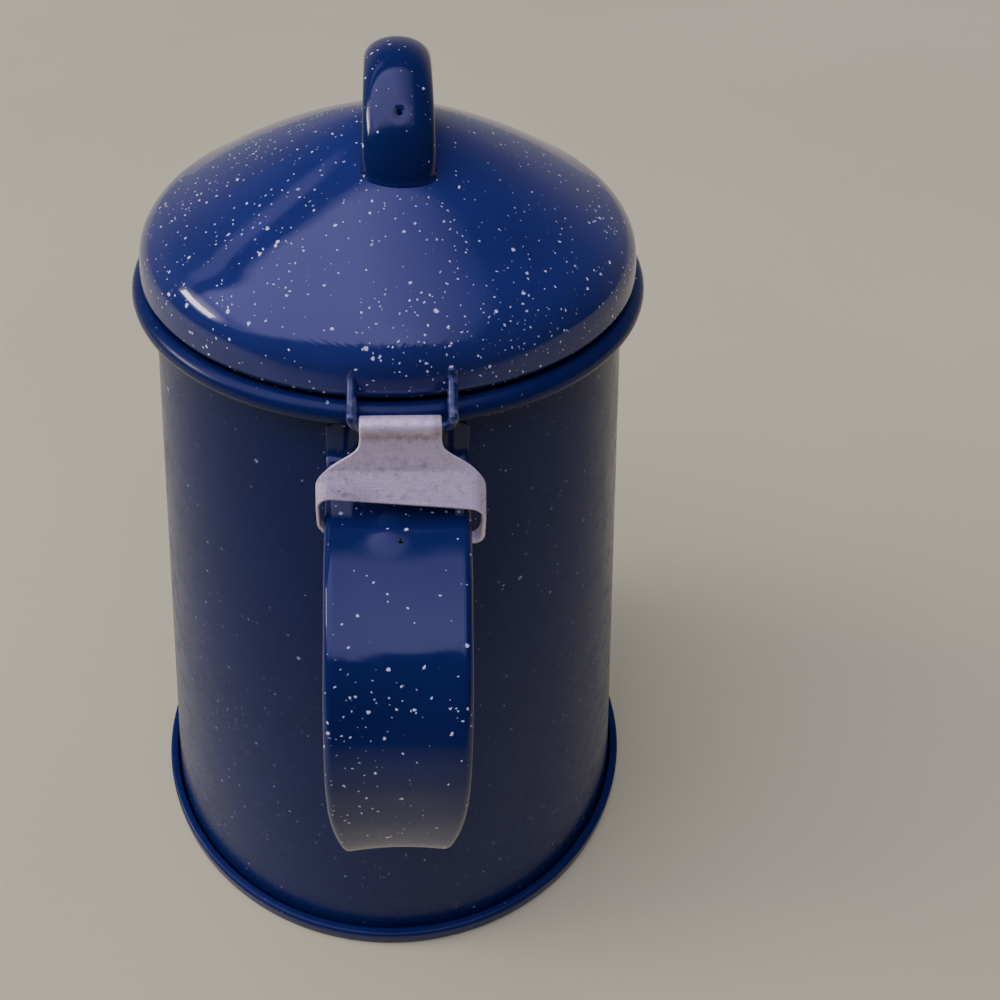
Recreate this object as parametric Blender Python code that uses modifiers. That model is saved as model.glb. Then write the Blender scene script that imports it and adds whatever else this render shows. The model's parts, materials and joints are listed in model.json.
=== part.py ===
"""Enamelled steel coffee pot with a hinged domed lid.

Metres, +Z up. The origin is on the pot's axis, in the plane that it stands on.
The handle points along -Y and the spout along +Y. The lid turns about an axis
along X that runs through the rolled knuckle of the hinge clip.
"""

import math

import bmesh
import bpy
from mathutils import Matrix, Vector

# Shared sizes
SHEET = 0.0010
CLIP_SHEET = 0.00065
GAP = 0.0003
OVERRUN = 0.004
ROUND_SEGMENTS = 64
MERGE = 0.00001

# Body and its rolled rim
RIM_RADIUS = 0.0570
BEAD_RADIUS = 0.00245
BEAD_HEIGHT = 0.1792
FOOT_RADIUS = 0.0760
SEAM_WIDTH = 0.0026
SEAM_HEIGHT = 0.0054
SEAM_ROUND = 0.0009
BEAD_STEPS = 12

# Lid
LID_INSET = 0.0024
LID_LIFT = 0.0048
LID_RISE = 0.0317
LID_SHEET = 0.0009
LID_EDGE_ROUND = 0.0020
SKIRT_PLAY = 0.0009
SKIRT_DEPTH = 0.0072
LID_DOME_STEPS = 14
# Each pair is a share of the lid's radius and a share of its height above its widest ring.
LID_DOME_SHARES = (
    (0.114, 0.943), (0.249, 0.868), (0.385, 0.779), (0.520, 0.678),
    (0.657, 0.565), (0.793, 0.438), (0.912, 0.315), (0.978, 0.177),
)

# Knob on the lid
KNOB_FOOT_REACH = 0.0220
KNOB_RISE = 0.0122
KNOB_ROOT_DEPTH = 0.0040
KNOB_FOOT_WIDTH = 0.0152
KNOB_TOP_WIDTH = 0.0134
KNOB_EDGE_DEPTH = 0.0040
KNOB_SHIFT = 0.0020
KNOB_ROWS = 26
KNOB_COLUMNS = 12
VENT_RADIUS = 0.0006
KNOB_VENT_ANGLE = math.radians(43)
VENT_SIDES = 8

# Hinge
HINGE_OUTSET = 0.0030
HINGE_LIFT = 0.0013
HINGE_SHIFT = 0.0020
WIRE_RADIUS = 0.0010
WIRE_SPACING = 0.0185
WIRE_BEND = 0.0019
WIRE_LEG_RISE = 0.0081
WIRE_ROOT_SHARE = 0.62

# Hinge clip
KNUCKLE_RADIUS = 0.0021
KNUCKLE_START = math.radians(270)
KNUCKLE_END = math.radians(-40)
NECK_WIDTH = 0.0150
NECK_RUN = 0.0020
NECK_FALL = 0.0058
SADDLE_RUN = 0.0040
SADDLE_SLOPE = math.radians(53)
SADDLE_WIDTH = 0.0318
SADDLE_CORNER = 0.0030
WING_CURL = 0.0024
WING_TUCK = 0.0012
WING_CLEARANCE = 0.0014
CLIP_SHIFT = 0.0016
KNUCKLE_STEPS = 11
SADDLE_SKEW = 0.00076
# Each pair is a share of the way down from the neck to the crease, and a share of the way
# from the neck's half width to the end of the wing.
SHOULDER_SHARES = (
    (0.0, 0.0), (0.23, 0.005), (0.40, 0.025), (0.57, 0.085), (0.70, 0.145), (0.84, 0.205),
    (1.0, 0.27),
)

# Each pair is a share of the saddle's run, and a share of the way to the end of the wing.
SADDLE_SHARES = ((0.12, 0.36), (0.26, 0.60), (0.40, 0.82), (0.55, 1.0), (0.78, 1.0), (1.0, 1.0))

# Handle strap
HANDLE_DROP = 0.0036
HANDLE_SPAN = 0.1256
HANDLE_BOW = 0.0501
HANDLE_WIDTH = 0.0280
HANDLE_EDGE_DEPTH = 0.0026
HANDLE_EDGE_ROUND = 0.0016
HANDLE_DISH = 0.0006
HANDLE_SHIFT = 0.0012
HANDLE_LEAN = 0.0018
HANDLE_TOP_TAB = 0.0066
HANDLE_FOOT_TAB = 0.0175
HANDLE_PLAY = 0.0001
HANDLE_VENT_SHARE = 0.148
HANDLE_ROWS = 38
# Each pair is a share of the reach beyond the top tab, and a share of the handle's height.
HANDLE_SHARES = (
    (0.060, 0.932), (0.230, 0.910), (0.557, 0.881), (0.745, 0.838), (0.856, 0.790),
    (0.935, 0.730), (0.988, 0.661), (1.000, 0.597), (0.988, 0.5175), (0.940, 0.430),
    (0.850, 0.368), (0.711, 0.3065), (0.541, 0.256), (0.385, 0.212), (0.306, 0.175),
)
# Each pair is a share of the way along the strap, and a share of its width at the top.
HANDLE_WIDTH_SHARES = (
    (0.0, 1.0), (0.13, 1.0), (0.25, 0.955), (0.45, 0.97), (0.51, 0.95), (0.56, 0.875),
    (0.61, 0.80), (0.68, 0.76), (1.0, 0.72),
)

# Spout
SPOUT_DROP = 0.0082
SPOUT_SPAN = 0.0760
SPOUT_LIP_RISE = 0.0040
SPOUT_OUTREACH = 0.0439
SPOUT_HALF_WIDTH = 0.0230
SPOUT_ROOT_DEPTH = 0.0100
SPOUT_ROWS = 14
SPOUT_COLUMNS = 16
SPOUT_FOOT_WIDTH_SHARE = 0.16

# Strainer holes behind the spout
STRAINER_HOLE_RADIUS = 0.0015
STRAINER_PITCH = 0.0062
STRAINER_DROP = 0.0310
STRAINER_ROWS = 5
STRAINER_SIDES = 10

ENAMEL_BLUE = (0.018, 0.050, 0.250, 1.0)
ENAMEL_NAVY = (0.012, 0.030, 0.160, 1.0)
BARE_STEEL = (0.42, 0.40, 0.42, 1.0)

WALL_BOTTOM = SHEET + GAP
WALL_TOP_RADIUS = RIM_RADIUS - 2 * BEAD_RADIUS
SEAM_INNER_RADIUS = FOOT_RADIUS - SEAM_WIDTH
WALL_BOTTOM_RADIUS = SEAM_INNER_RADIUS - GAP
LID_RADIUS = RIM_RADIUS - LID_INSET
LID_EQUATOR_HEIGHT = BEAD_HEIGHT + LID_LIFT
LID_APEX_HEIGHT = LID_EQUATOR_HEIGHT + LID_RISE
KNOB_HEIGHT = LID_APEX_HEIGHT + KNOB_RISE
HINGE_REACH = RIM_RADIUS + HINGE_OUTSET
HINGE_HEIGHT = BEAD_HEIGHT + HINGE_LIFT
NECK_REACH = HINGE_REACH + KNUCKLE_RADIUS * math.cos(KNUCKLE_END)
NECK_HEIGHT = HINGE_HEIGHT + KNUCKLE_RADIUS * math.sin(KNUCKLE_END)
CREASE_REACH = NECK_REACH + NECK_RUN
CREASE_HEIGHT = NECK_HEIGHT - NECK_FALL
HANDLE_TOP = BEAD_HEIGHT - HANDLE_DROP
HANDLE_FOOT = HANDLE_TOP - HANDLE_SPAN
SPOUT_TOP = BEAD_HEIGHT - SPOUT_DROP
SPOUT_BOTTOM = SPOUT_TOP - SPOUT_SPAN
STRAINER_MIDDLE = SPOUT_TOP - STRAINER_DROP
BEAD_CENTRE_RADIUS = RIM_RADIUS - BEAD_RADIUS
MOUTH_RADIUS = BEAD_CENTRE_RADIUS - BEAD_RADIUS
SKIRT_RADIUS = WALL_TOP_RADIUS - SHEET - SKIRT_PLAY


def new_collection(name):
    """A collection linked to the scene."""
    collection = bpy.data.collections.new(name)
    bpy.context.scene.collection.children.link(collection)
    return collection


def make_material(name, colour, roughness, metallic):
    """A Principled material with one colour."""
    material = bpy.data.materials.new(name)
    material.use_nodes = True
    shader = material.node_tree.nodes["Principled BSDF"]
    shader.inputs["Base Color"].default_value = colour
    shader.inputs["Roughness"].default_value = roughness
    shader.inputs["Metallic"].default_value = metallic
    return material


def add_part(name, mesh, material):
    """A named sub-part in the pot's collection."""
    part = bpy.data.objects.new(name, mesh)
    mesh.materials.append(material)
    parts.objects.link(part)
    return part


def add_cutter(name, mesh):
    """A shape that only takes material away."""
    cutter = bpy.data.objects.new(name, mesh)
    cutter.hide_render = True
    cutter.display_type = "WIRE"
    cutters.objects.link(cutter)
    return cutter


def cut(part, cutter):
    """Take the cutter's volume out of the part."""
    modifier = part.modifiers.new("cut_" + cutter.name, "BOOLEAN")
    modifier.operation = "DIFFERENCE"
    modifier.solver = "EXACT"
    modifier.object = cutter


def shell(part, thickness, even=True):
    """Give an open surface its sheet thickness, inwards from its outer face."""
    modifier = part.modifiers.new("sheet", "SOLIDIFY")
    modifier.thickness = thickness
    modifier.offset = -1
    modifier.use_even_offset = even


def turn(part):
    """Turn the profile a full circle about Z."""
    modifier = part.modifiers.new("turned", "SCREW")
    modifier.axis = "Z"
    modifier.angle = 2 * math.pi
    modifier.steps = ROUND_SEGMENTS
    modifier.render_steps = ROUND_SEGMENTS
    modifier.use_merge_vertices = True
    modifier.merge_threshold = MERGE
    modifier.use_smooth_shade = True


def profile_mesh(name, points, closed):
    """A line of edges in the XZ plane through the points given as radius and height."""
    mesh = bpy.data.meshes.new(name)
    last = len(points) if closed else len(points) - 1
    edges = [(i, (i + 1) % len(points)) for i in range(last)]
    mesh.from_pydata([(radius, 0, height) for radius, height in points], edges, [])
    return mesh


def sheet_mesh(name, rows):
    """A grid of faces over equal rows of points. Facing its outer side with the points of a
    row running to the right, the rows run upwards."""
    width = len(rows[0])
    corners = [point for row in rows for point in row]
    faces = [
        (r * width + c, r * width + c + 1, (r + 1) * width + c + 1, (r + 1) * width + c)
        for r in range(len(rows) - 1)
        for c in range(width - 1)
    ]
    mesh = bpy.data.meshes.new(name)
    mesh.from_pydata(corners, [], faces)
    mesh.shade_smooth()
    return mesh


def arc(centre, radius, start, end, steps):
    """Points in a plane along an arc, both ends included, angles in radians."""
    return [
        (
            centre[0] + radius * math.cos(start + (end - start) * i / steps),
            centre[1] + radius * math.sin(start + (end - start) * i / steps),
        )
        for i in range(steps + 1)
    ]


def blend(a, b, share):
    """The value that share of the way from a to b."""
    return a + (b - a) * share


def wall_radius(height):
    """Outer radius of the tapered wall at a height."""
    share = (height - WALL_BOTTOM) / (BEAD_HEIGHT - WALL_BOTTOM)
    return blend(WALL_BOTTOM_RADIUS, WALL_TOP_RADIUS, share)


def smooth_curve(points, count):
    """A Catmull-Rom curve through the points, sampled at equal steps of its length."""
    knots = [points[0]] + list(points) + [points[-1]]
    fine = []
    for i in range(len(points) - 1):
        a, b, c, d = (Vector(p) for p in knots[i:i + 4])
        for step in range(12):
            t = step / 12
            fine.append(
                0.5 * (2 * b + (c - a) * t + (2 * a - 5 * b + 4 * c - d) * t ** 2
                       + (3 * b - a - 3 * c + d) * t ** 3)
            )
    fine.append(Vector(points[-1]))
    lengths = [0.0]
    for a, b in zip(fine, fine[1:]):
        lengths.append(lengths[-1] + (b - a).length)
    samples = []
    segment = 0
    for i in range(count):
        target = lengths[-1] * i / (count - 1)
        while segment < len(fine) - 2 and lengths[segment + 1] < target:
            segment += 1
        span = lengths[segment + 1] - lengths[segment]
        samples.append(fine[segment].lerp(fine[segment + 1], (target - lengths[segment]) / span))
    return samples


def lid_dome_points():
    """Outer profile of the lid from its apex to its widest ring."""
    points = [(0, LID_APEX_HEIGHT)]
    for radius_share, rise_share in LID_DOME_SHARES:
        points.append((LID_RADIUS * radius_share, LID_EQUATOR_HEIGHT + LID_RISE * rise_share))
    points.append((LID_RADIUS, LID_EQUATOR_HEIGHT))
    return points


def lid_surface_height(radius):
    """Height of the lid's outer face at a radius."""
    points = lid_dome_points()
    for (r0, z0), (r1, z1) in zip(points, points[1:]):
        if radius <= r1:
            return blend(z0, z1, (radius - r0) / (r1 - r0))
    return LID_EQUATOR_HEIGHT


def make_body_shell():
    """Tapered seamed wall whose top edge is rolled outwards into a bead."""
    centre = (BEAD_CENTRE_RADIUS, BEAD_HEIGHT)
    join = math.asin((WALL_TOP_RADIUS - MOUTH_RADIUS + BEAD_RADIUS / 2) / BEAD_RADIUS)
    bead = arc(centre, BEAD_RADIUS, math.pi, -math.pi / 2 - join, BEAD_STEPS)
    under_bead = BEAD_HEIGHT - BEAD_RADIUS
    profile = bead + [
        (wall_radius(under_bead), under_bead - BEAD_RADIUS / 4),
        (WALL_BOTTOM_RADIUS, WALL_BOTTOM),
        (WALL_BOTTOM_RADIUS - SHEET, WALL_BOTTOM),
        (wall_radius(under_bead) - SHEET, under_bead),
    ]
    body = add_part("body_shell", profile_mesh("body_shell", profile, True), navy_enamel)
    turn(body)
    mesh = bpy.data.meshes.new("strainer_holes")
    drill = bmesh.new()
    for row in range(STRAINER_ROWS):
        holes = STRAINER_ROWS - abs(row - STRAINER_ROWS // 2)
        height = STRAINER_MIDDLE + (row - (STRAINER_ROWS - 1) / 2) * STRAINER_PITCH * math.sqrt(0.75)
        for column in range(holes):
            side = (column - (holes - 1) / 2) * STRAINER_PITCH
            place = Matrix.Translation((side, wall_radius(height), height))
            bmesh.ops.create_cone(
                drill, cap_ends=True, segments=STRAINER_SIDES,
                radius1=STRAINER_HOLE_RADIUS, radius2=STRAINER_HOLE_RADIUS,
                depth=2 * (SHEET + OVERRUN),
                matrix=place @ Matrix.Rotation(math.pi / 2, 4, "X"),
            )
    drill.to_mesh(mesh)
    drill.free()
    cut(body, add_cutter("strainer_holes", mesh))
    return body


def make_base_pan():
    """Flat bottom whose edge is folded up round the wall as a raised seam."""
    outer = FOOT_RADIUS - SEAM_ROUND
    profile = [(0, SHEET), (WALL_BOTTOM_RADIUS + GAP, SHEET)]
    profile.append((wall_radius(SEAM_HEIGHT) + GAP, SEAM_HEIGHT))
    profile += arc((outer, SEAM_HEIGHT - SEAM_ROUND), SEAM_ROUND, math.pi / 2, 0, 4)
    profile += arc((outer, SEAM_ROUND), SEAM_ROUND, 0, -math.pi / 2, 4)
    profile.append((0, 0))
    pan = add_part("base_pan", profile_mesh("base_pan", profile, False), navy_enamel)
    turn(pan)
    return pan


def make_lid_shell():
    """Domed lid that turns in under its widest ring, rests in the bead and ends in a skirt."""
    dome = smooth_curve([(r, z, 0) for r, z in lid_dome_points()], LID_DOME_STEPS)
    profile = [(p.x, p.y) for p in dome]
    seat_angle = math.radians(135)
    seat = (
        BEAD_CENTRE_RADIUS + (BEAD_RADIUS + GAP) * math.cos(seat_angle),
        BEAD_HEIGHT + (BEAD_RADIUS + GAP) * math.sin(seat_angle),
    )
    edge_centre = (LID_RADIUS - LID_EDGE_ROUND, seat[1] + LID_RADIUS - LID_EDGE_ROUND - seat[0]
                   + LID_EDGE_ROUND * math.sqrt(2))
    profile += arc(edge_centre, LID_EDGE_ROUND, 0, math.radians(-45), 3)
    slope_end = seat[0] - (seat[0] - SKIRT_RADIUS) / 2
    profile += [seat, (slope_end, seat[1] - seat[0] + slope_end)]
    neck = seat[1] - (seat[0] - SKIRT_RADIUS) * 1.6
    profile += [(SKIRT_RADIUS, neck), (SKIRT_RADIUS, neck - SKIRT_DEPTH)]
    lid = add_part("lid_shell", profile_mesh("lid_shell", profile, False), blue_enamel)
    turn(lid)
    shell(lid, LID_SHEET)
    return lid


def make_lid_knob():
    """Sheet arch with rolled-down edges that stands on the lid as its handle."""
    foot = lid_surface_height(KNOB_FOOT_REACH) - KNOB_ROOT_DEPTH
    rise = KNOB_HEIGHT - foot
    rows = []
    for i in range(KNOB_ROWS + 1):
        angle = math.pi * i / KNOB_ROWS
        width = blend(KNOB_FOOT_WIDTH, KNOB_TOP_WIDTH, math.sin(angle))
        top = Vector((0, -KNOB_FOOT_REACH * math.cos(angle), foot + rise * math.sin(angle)))
        inward = -Vector((0, -math.cos(angle) * rise, math.sin(angle) * KNOB_FOOT_REACH)).normalized()
        row = []
        for j in range(KNOB_COLUMNS + 1):
            across = math.pi * (j / KNOB_COLUMNS - 0.5)
            side = Vector((width / 2 * math.sin(across), 0, 0))
            row.append(top + side + inward * KNOB_EDGE_DEPTH * (1 - math.cos(across)))
        rows.append(row)
    knob = add_part("lid_knob", sheet_mesh("lid_knob", rows), blue_enamel)
    knob.location.x = KNOB_SHIFT
    shell(knob, SHEET)
    profile = [(r + (GAP if r else 0), z + GAP) for r, z in lid_dome_points()]
    profile.append((0, LID_EQUATOR_HEIGHT))
    under = add_cutter("lid_under_knob", profile_mesh("lid_under_knob", profile, False))
    turn(under)
    cut(knob, under)
    point = Vector((KNOB_SHIFT, -KNOB_FOOT_REACH * math.cos(KNOB_VENT_ANGLE),
                    foot + rise * math.sin(KNOB_VENT_ANGLE)))
    tilt = Matrix.Rotation(math.pi / 2 - KNOB_VENT_ANGLE, 4, "X")
    cut(knob, vent_drill("knob_vent", Matrix.Translation(point) @ tilt))
    return knob


def handle_path():
    """Outer face of the strap in the YZ plane, as reach and height, from its top tab down."""
    stand_off = GAP + HANDLE_PLAY + SHEET
    start = wall_radius(HANDLE_TOP) + stand_off
    points = [(start, HANDLE_TOP)]
    for height in (HANDLE_TOP - HANDLE_TOP_TAB / 2, HANDLE_TOP - HANDLE_TOP_TAB):
        points.append((wall_radius(height) + stand_off, height))
    for reach_share, height_share in HANDLE_SHARES:
        points.append((start + HANDLE_BOW * reach_share,
                       blend(HANDLE_FOOT, HANDLE_TOP, height_share)))
    for height in (HANDLE_FOOT + HANDLE_FOOT_TAB, HANDLE_FOOT + HANDLE_FOOT_TAB / 2, HANDLE_FOOT):
        points.append((wall_radius(height) + stand_off, height))
    path = smooth_curve([(reach, height, 0) for reach, height in points], HANDLE_ROWS + 1)
    for point in path:
        point.x = max(point.x, wall_radius(point.y) + stand_off)
    return path


def share_at(pairs, share):
    """The second value of a table of pairs at a share, in a straight line between pairs."""
    for (s0, v0), (s1, v1) in zip(pairs, pairs[1:]):
        if share <= s1:
            return blend(v0, v1, (share - s0) / (s1 - s0))
    return pairs[-1][1]


def strap_top_height(reach):
    """Height of the strap's outer face at a reach, on its upper run."""
    path = handle_path()
    for a, b in zip(path, path[1:]):
        if a.x <= reach <= b.x:
            return blend(a.y, b.y, (reach - a.x) / (b.x - a.x))
    return HANDLE_TOP - HANDLE_TOP_TAB


def handle_section(width, edge_depth, dish):
    """Half of the strap's section as distance across and depth below its outer face."""
    flat = width / 2 - HANDLE_EDGE_ROUND
    points = [(flat * share, -dish * share ** 2) for share in (0, 1 / 3, 2 / 3, 1)]
    turned = min(edge_depth, HANDLE_EDGE_ROUND)
    for step in (1, 2, 3):
        angle = math.pi / 2 * step / 3
        points.append((flat + HANDLE_EDGE_ROUND * math.sin(angle),
                       -dish + turned * (1 - math.cos(angle))))
    points.append((width / 2, -dish + edge_depth))
    return points


def make_handle_strap():
    """Steel strap with turned-down edges that leaves the wall below the rim and returns low down."""
    path = handle_path()
    rows = []
    for i, centre in enumerate(path):
        before = path[max(i - 1, 0)]
        after = path[min(i + 1, HANDLE_ROWS)]
        along = (after - before).normalized()
        outward = Vector((-along.y, along.x))
        share = i / HANDLE_ROWS
        width = HANDLE_WIDTH * share_at(HANDLE_WIDTH_SHARES, share)
        off_wall = centre.x - wall_radius(centre.y) - GAP - HANDLE_PLAY - SHEET
        free = min(max(off_wall / (HANDLE_EDGE_DEPTH + HANDLE_EDGE_ROUND), 0), 1)
        edge = max(HANDLE_EDGE_DEPTH * free, SHEET / 4)
        dish = HANDLE_DISH * free * min(2 * share, 1)
        half = handle_section(width, edge, dish)
        row = []
        for across, depth in [(-x, d) for x, d in reversed(half[1:])] + half:
            hug = math.sqrt(centre.x ** 2 - across ** 2) - centre.x
            reach = centre.x - outward.x * depth + hug * (1 - free)
            row.append(Vector((across - HANDLE_LEAN * share, -reach, centre.y - outward.y * depth)))
        rows.append(row)
    strap = add_part("handle_strap", sheet_mesh("handle_strap", rows[::-1]), blue_enamel)
    strap.location.x = HANDLE_SHIFT
    shell(strap, SHEET)
    cut(strap, wall_envelope("wall_beside_handle"))
    row = round(HANDLE_VENT_SHARE * HANDLE_ROWS)
    run = path[row + 1] - path[row - 1]
    place = Matrix.Translation((HANDLE_SHIFT, -path[row].x, path[row].y))
    tilt = Matrix.Rotation(math.atan2(run.x, -run.y) - math.pi / 2, 4, "X")
    cut(strap, vent_drill("handle_vent", place @ tilt))
    return strap


def vent_drill(name, place):
    """A cutter for a small vent hole along the place's own Z axis."""
    drill = bpy.data.meshes.new(name)
    hole = bmesh.new()
    bmesh.ops.create_cone(
        hole, cap_ends=True, segments=VENT_SIDES, radius1=VENT_RADIUS, radius2=VENT_RADIUS,
        depth=2 * (SHEET + GAP), matrix=place,
    )
    hole.to_mesh(drill)
    hole.free()
    return add_cutter(name, drill)


def wall_envelope(name):
    """A solid cone that holds the wall and the gap round it."""
    low, high = HANDLE_FOOT - OVERRUN, BEAD_HEIGHT - BEAD_RADIUS
    profile = [(0, high), (wall_radius(high) + GAP, high), (wall_radius(low) + GAP, low), (0, low)]
    cutter = add_cutter(name, profile_mesh(name, profile, False))
    turn(cutter)
    return cutter


def make_hinge_clip():
    """Bare steel clip: a knuckle rolled round the wire, a neck, and a saddle over the handle."""
    knuckle = arc((HINGE_REACH, HINGE_HEIGHT), KNUCKLE_RADIUS, KNUCKLE_START, KNUCKLE_END,
                  KNUCKLE_STEPS)
    side = [(reach, height, 0, 0) for reach, height in knuckle[:-1]]
    for fall_share, spread in SHOULDER_SHARES:
        side.append((blend(NECK_REACH, CREASE_REACH, fall_share),
                     blend(NECK_HEIGHT, CREASE_HEIGHT, fall_share), spread, 0))
    for share, spread in SADDLE_SHARES:
        side.append((CREASE_REACH + SADDLE_RUN * share,
                     CREASE_HEIGHT - SADDLE_RUN * share * math.tan(SADDLE_SLOPE), spread, share))
    rows = []
    for reach, height, spread, skew_share in side:
        low = strap_top_height(reach) - HANDLE_EDGE_DEPTH - WING_CLEARANCE
        section = clip_section(height - low)
        lengths = [0.0]
        for a, b in zip(section, section[1:]):
            lengths.append(lengths[-1] + math.dist(a, b))
        kept = blend(NECK_WIDTH / 2, lengths[-1], spread) / lengths[-1]
        half = [walk(section, lengths, length * kept) for length in lengths]
        row = []
        for x, drop in [(-x, drop) for x, drop in reversed(half[1:])] + half:
            skew = SADDLE_SKEW * skew_share * x / (SADDLE_WIDTH / 2)
            row.append(Vector((x, -reach - skew, height - drop - skew * math.tan(SADDLE_SLOPE))))
        rows.append(row)
    clip = add_part("hinge_clip", sheet_mesh("hinge_clip", rows[::-1]), steel)
    clip.location.x = CLIP_SHIFT
    shell(clip, CLIP_SHEET, even=False)
    return clip


def clip_section(depth):
    """Half of the saddle's outer face: flat top, round corner, drop and curl below the strap."""
    flat = SADDLE_WIDTH / 2 - SADDLE_CORNER
    bottom = depth + CLIP_SHEET
    points = [(0, 0), (flat / 2, 0)]
    points += [(x, SADDLE_CORNER - z) for x, z in
               arc((flat, 0), SADDLE_CORNER, math.pi / 2, 0, 5)]
    points += [(x, bottom - WING_CURL - z) for x, z in
               arc((SADDLE_WIDTH / 2 - WING_CURL, 0), WING_CURL, 0, -math.pi / 2, 4)]
    points.append((SADDLE_WIDTH / 2 - WING_CURL - WING_TUCK, bottom))
    return points


def walk(points, lengths, distance):
    """The point at a distance along a line of points."""
    for i in range(len(points) - 1):
        if distance <= lengths[i + 1] or i == len(points) - 2:
            share = (distance - lengths[i]) / (lengths[i + 1] - lengths[i])
            return tuple(blend(a, b, share) for a, b in zip(points[i], points[i + 1]))


def make_hinge_wire():
    """Wire staple: two legs from the lid's shoulder, joined by a pin through the knuckle."""
    half = WIRE_SPACING / 2
    root_height = HINGE_HEIGHT + WIRE_LEG_RISE
    root_radius = LID_RADIUS
    for r, z in lid_dome_points():
        if z <= root_height:
            root_radius = r
            break
    root_reach = math.sqrt((root_radius + GAP + WIRE_RADIUS / 2) ** 2 - half ** 2)
    leg = []
    for step in range(7):
        angle = math.pi / 2 * step / 6
        leg.append((half, -blend(HINGE_REACH, root_reach, math.sin(angle)),
                    HINGE_HEIGHT + WIRE_BEND
                    + (WIRE_LEG_RISE - WIRE_BEND) * (1 - math.cos(angle)) ** WIRE_ROOT_SHARE))
    bend = [(x, -HINGE_REACH, z) for x, z in
            arc((half - WIRE_BEND, HINGE_HEIGHT + WIRE_BEND), WIRE_BEND, -math.pi / 2, 0, 5)]
    side = bend[:-1] + leg
    points = [(-x, y, z) for x, y, z in reversed(side)] + side
    curve = bpy.data.curves.new("hinge_wire", "CURVE")
    curve.dimensions = "3D"
    curve.bevel_depth = WIRE_RADIUS
    curve.bevel_resolution = 2
    curve.use_fill_caps = True
    spline = curve.splines.new("POLY")
    spline.points.add(len(points) - 1)
    for spot, (x, y, z) in zip(spline.points, points):
        spot.co = (x, y + HINGE_REACH, z - HINGE_HEIGHT, 1)
    wire = add_part("hinge_wire", curve, blue_enamel)
    wire.location = (HINGE_SHIFT, -HINGE_REACH, HINGE_HEIGHT)
    return wire


def make_spout():
    """Beak of bent sheet on the wall, open at the top."""
    spout_reach = wall_radius(SPOUT_TOP) + SPOUT_OUTREACH
    rows = []
    for i in range(SPOUT_ROWS + 1):
        share = 1 - i / SPOUT_ROWS
        height = blend(SPOUT_BOTTOM, SPOUT_TOP, share)
        root = wall_radius(height) - SPOUT_ROOT_DEPTH
        half_width = SPOUT_HALF_WIDTH * blend(SPOUT_FOOT_WIDTH_SHARE, 1, share ** 0.8)
        foot_reach = wall_radius(height) + GAP + SHEET / 2
        reach = blend(foot_reach, spout_reach, share ** 1.35)
        row = []
        for j in range(SPOUT_COLUMNS + 1):
            angle = math.pi * (j / SPOUT_COLUMNS - 0.5)
            nose = math.cos(angle)
            side = half_width * math.sin(angle) * (1 + SPOUT_FOOT_WIDTH_SHARE * nose)
            row.append(Vector((-side, root + (reach - root) * nose ** 1.3,
                               height + SPOUT_LIP_RISE * share * nose)))
        rows.append(row)
    spout = add_part("spout", sheet_mesh("spout", rows[::-1]), navy_enamel)
    shell(spout, SHEET)
    cut(spout, wall_envelope("wall_behind_spout"))
    return spout


def hang_lid(lid_parts):
    """Parent the lid's parts to an empty on the hinge axis."""
    hinge = bpy.data.objects.new("lid_hinge_axis", None)
    hinge.location = (HINGE_SHIFT, -HINGE_REACH, HINGE_HEIGHT)
    parts.objects.link(hinge)
    for part in lid_parts:
        part.parent = hinge
        part.matrix_parent_inverse = Matrix.Translation(hinge.location).inverted()


for leftover in list(bpy.data.objects):
    bpy.data.objects.remove(leftover)

parts = new_collection("enamel_coffee_pot")
cutters = new_collection("cutters")
blue_enamel = make_material("blue_enamel", ENAMEL_BLUE, 0.15, 0.0)
navy_enamel = make_material("navy_enamel", ENAMEL_NAVY, 0.18, 0.0)
steel = make_material("bare_steel", BARE_STEEL, 0.42, 1.0)

make_body_shell()
make_base_pan()
make_spout()
make_handle_strap()
make_hinge_clip()
hang_lid([make_lid_shell(), make_lid_knob(), make_hinge_wire()])
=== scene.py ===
import json
import math

import bmesh
import bpy
import numpy as np
from bpy.props import FloatProperty, FloatVectorProperty, IntProperty, PointerProperty
from mathutils import Matrix, Vector


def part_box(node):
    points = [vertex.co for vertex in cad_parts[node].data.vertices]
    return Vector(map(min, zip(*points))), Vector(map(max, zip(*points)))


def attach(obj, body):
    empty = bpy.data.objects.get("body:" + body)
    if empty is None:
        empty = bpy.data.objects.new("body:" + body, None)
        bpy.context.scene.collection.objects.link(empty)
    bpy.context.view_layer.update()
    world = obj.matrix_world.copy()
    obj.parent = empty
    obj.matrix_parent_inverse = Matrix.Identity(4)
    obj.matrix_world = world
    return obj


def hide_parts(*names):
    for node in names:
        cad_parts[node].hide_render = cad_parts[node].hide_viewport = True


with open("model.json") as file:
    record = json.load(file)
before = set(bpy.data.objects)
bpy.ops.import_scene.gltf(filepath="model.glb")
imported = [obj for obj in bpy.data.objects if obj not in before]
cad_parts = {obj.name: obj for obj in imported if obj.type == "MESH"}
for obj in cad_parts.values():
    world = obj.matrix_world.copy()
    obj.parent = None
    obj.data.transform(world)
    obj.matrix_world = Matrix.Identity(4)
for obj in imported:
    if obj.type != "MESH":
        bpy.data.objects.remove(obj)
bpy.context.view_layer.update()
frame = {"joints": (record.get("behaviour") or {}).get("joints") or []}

bl_info = {
    "name": "Enamel Coffee Pot",
    "version": (1, 0, 0),
    "blender": (4, 5, 0),
    "location": "View3D > Sidebar > Coffee Pot",
    "description": "Builds a speckled enamel coffee pot with a wire-hinged lid and a steel clip",
    "category": "Object",
}

LID_HINGE = frame["joints"][0]
FULL_TURN = 2 * math.pi

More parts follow.
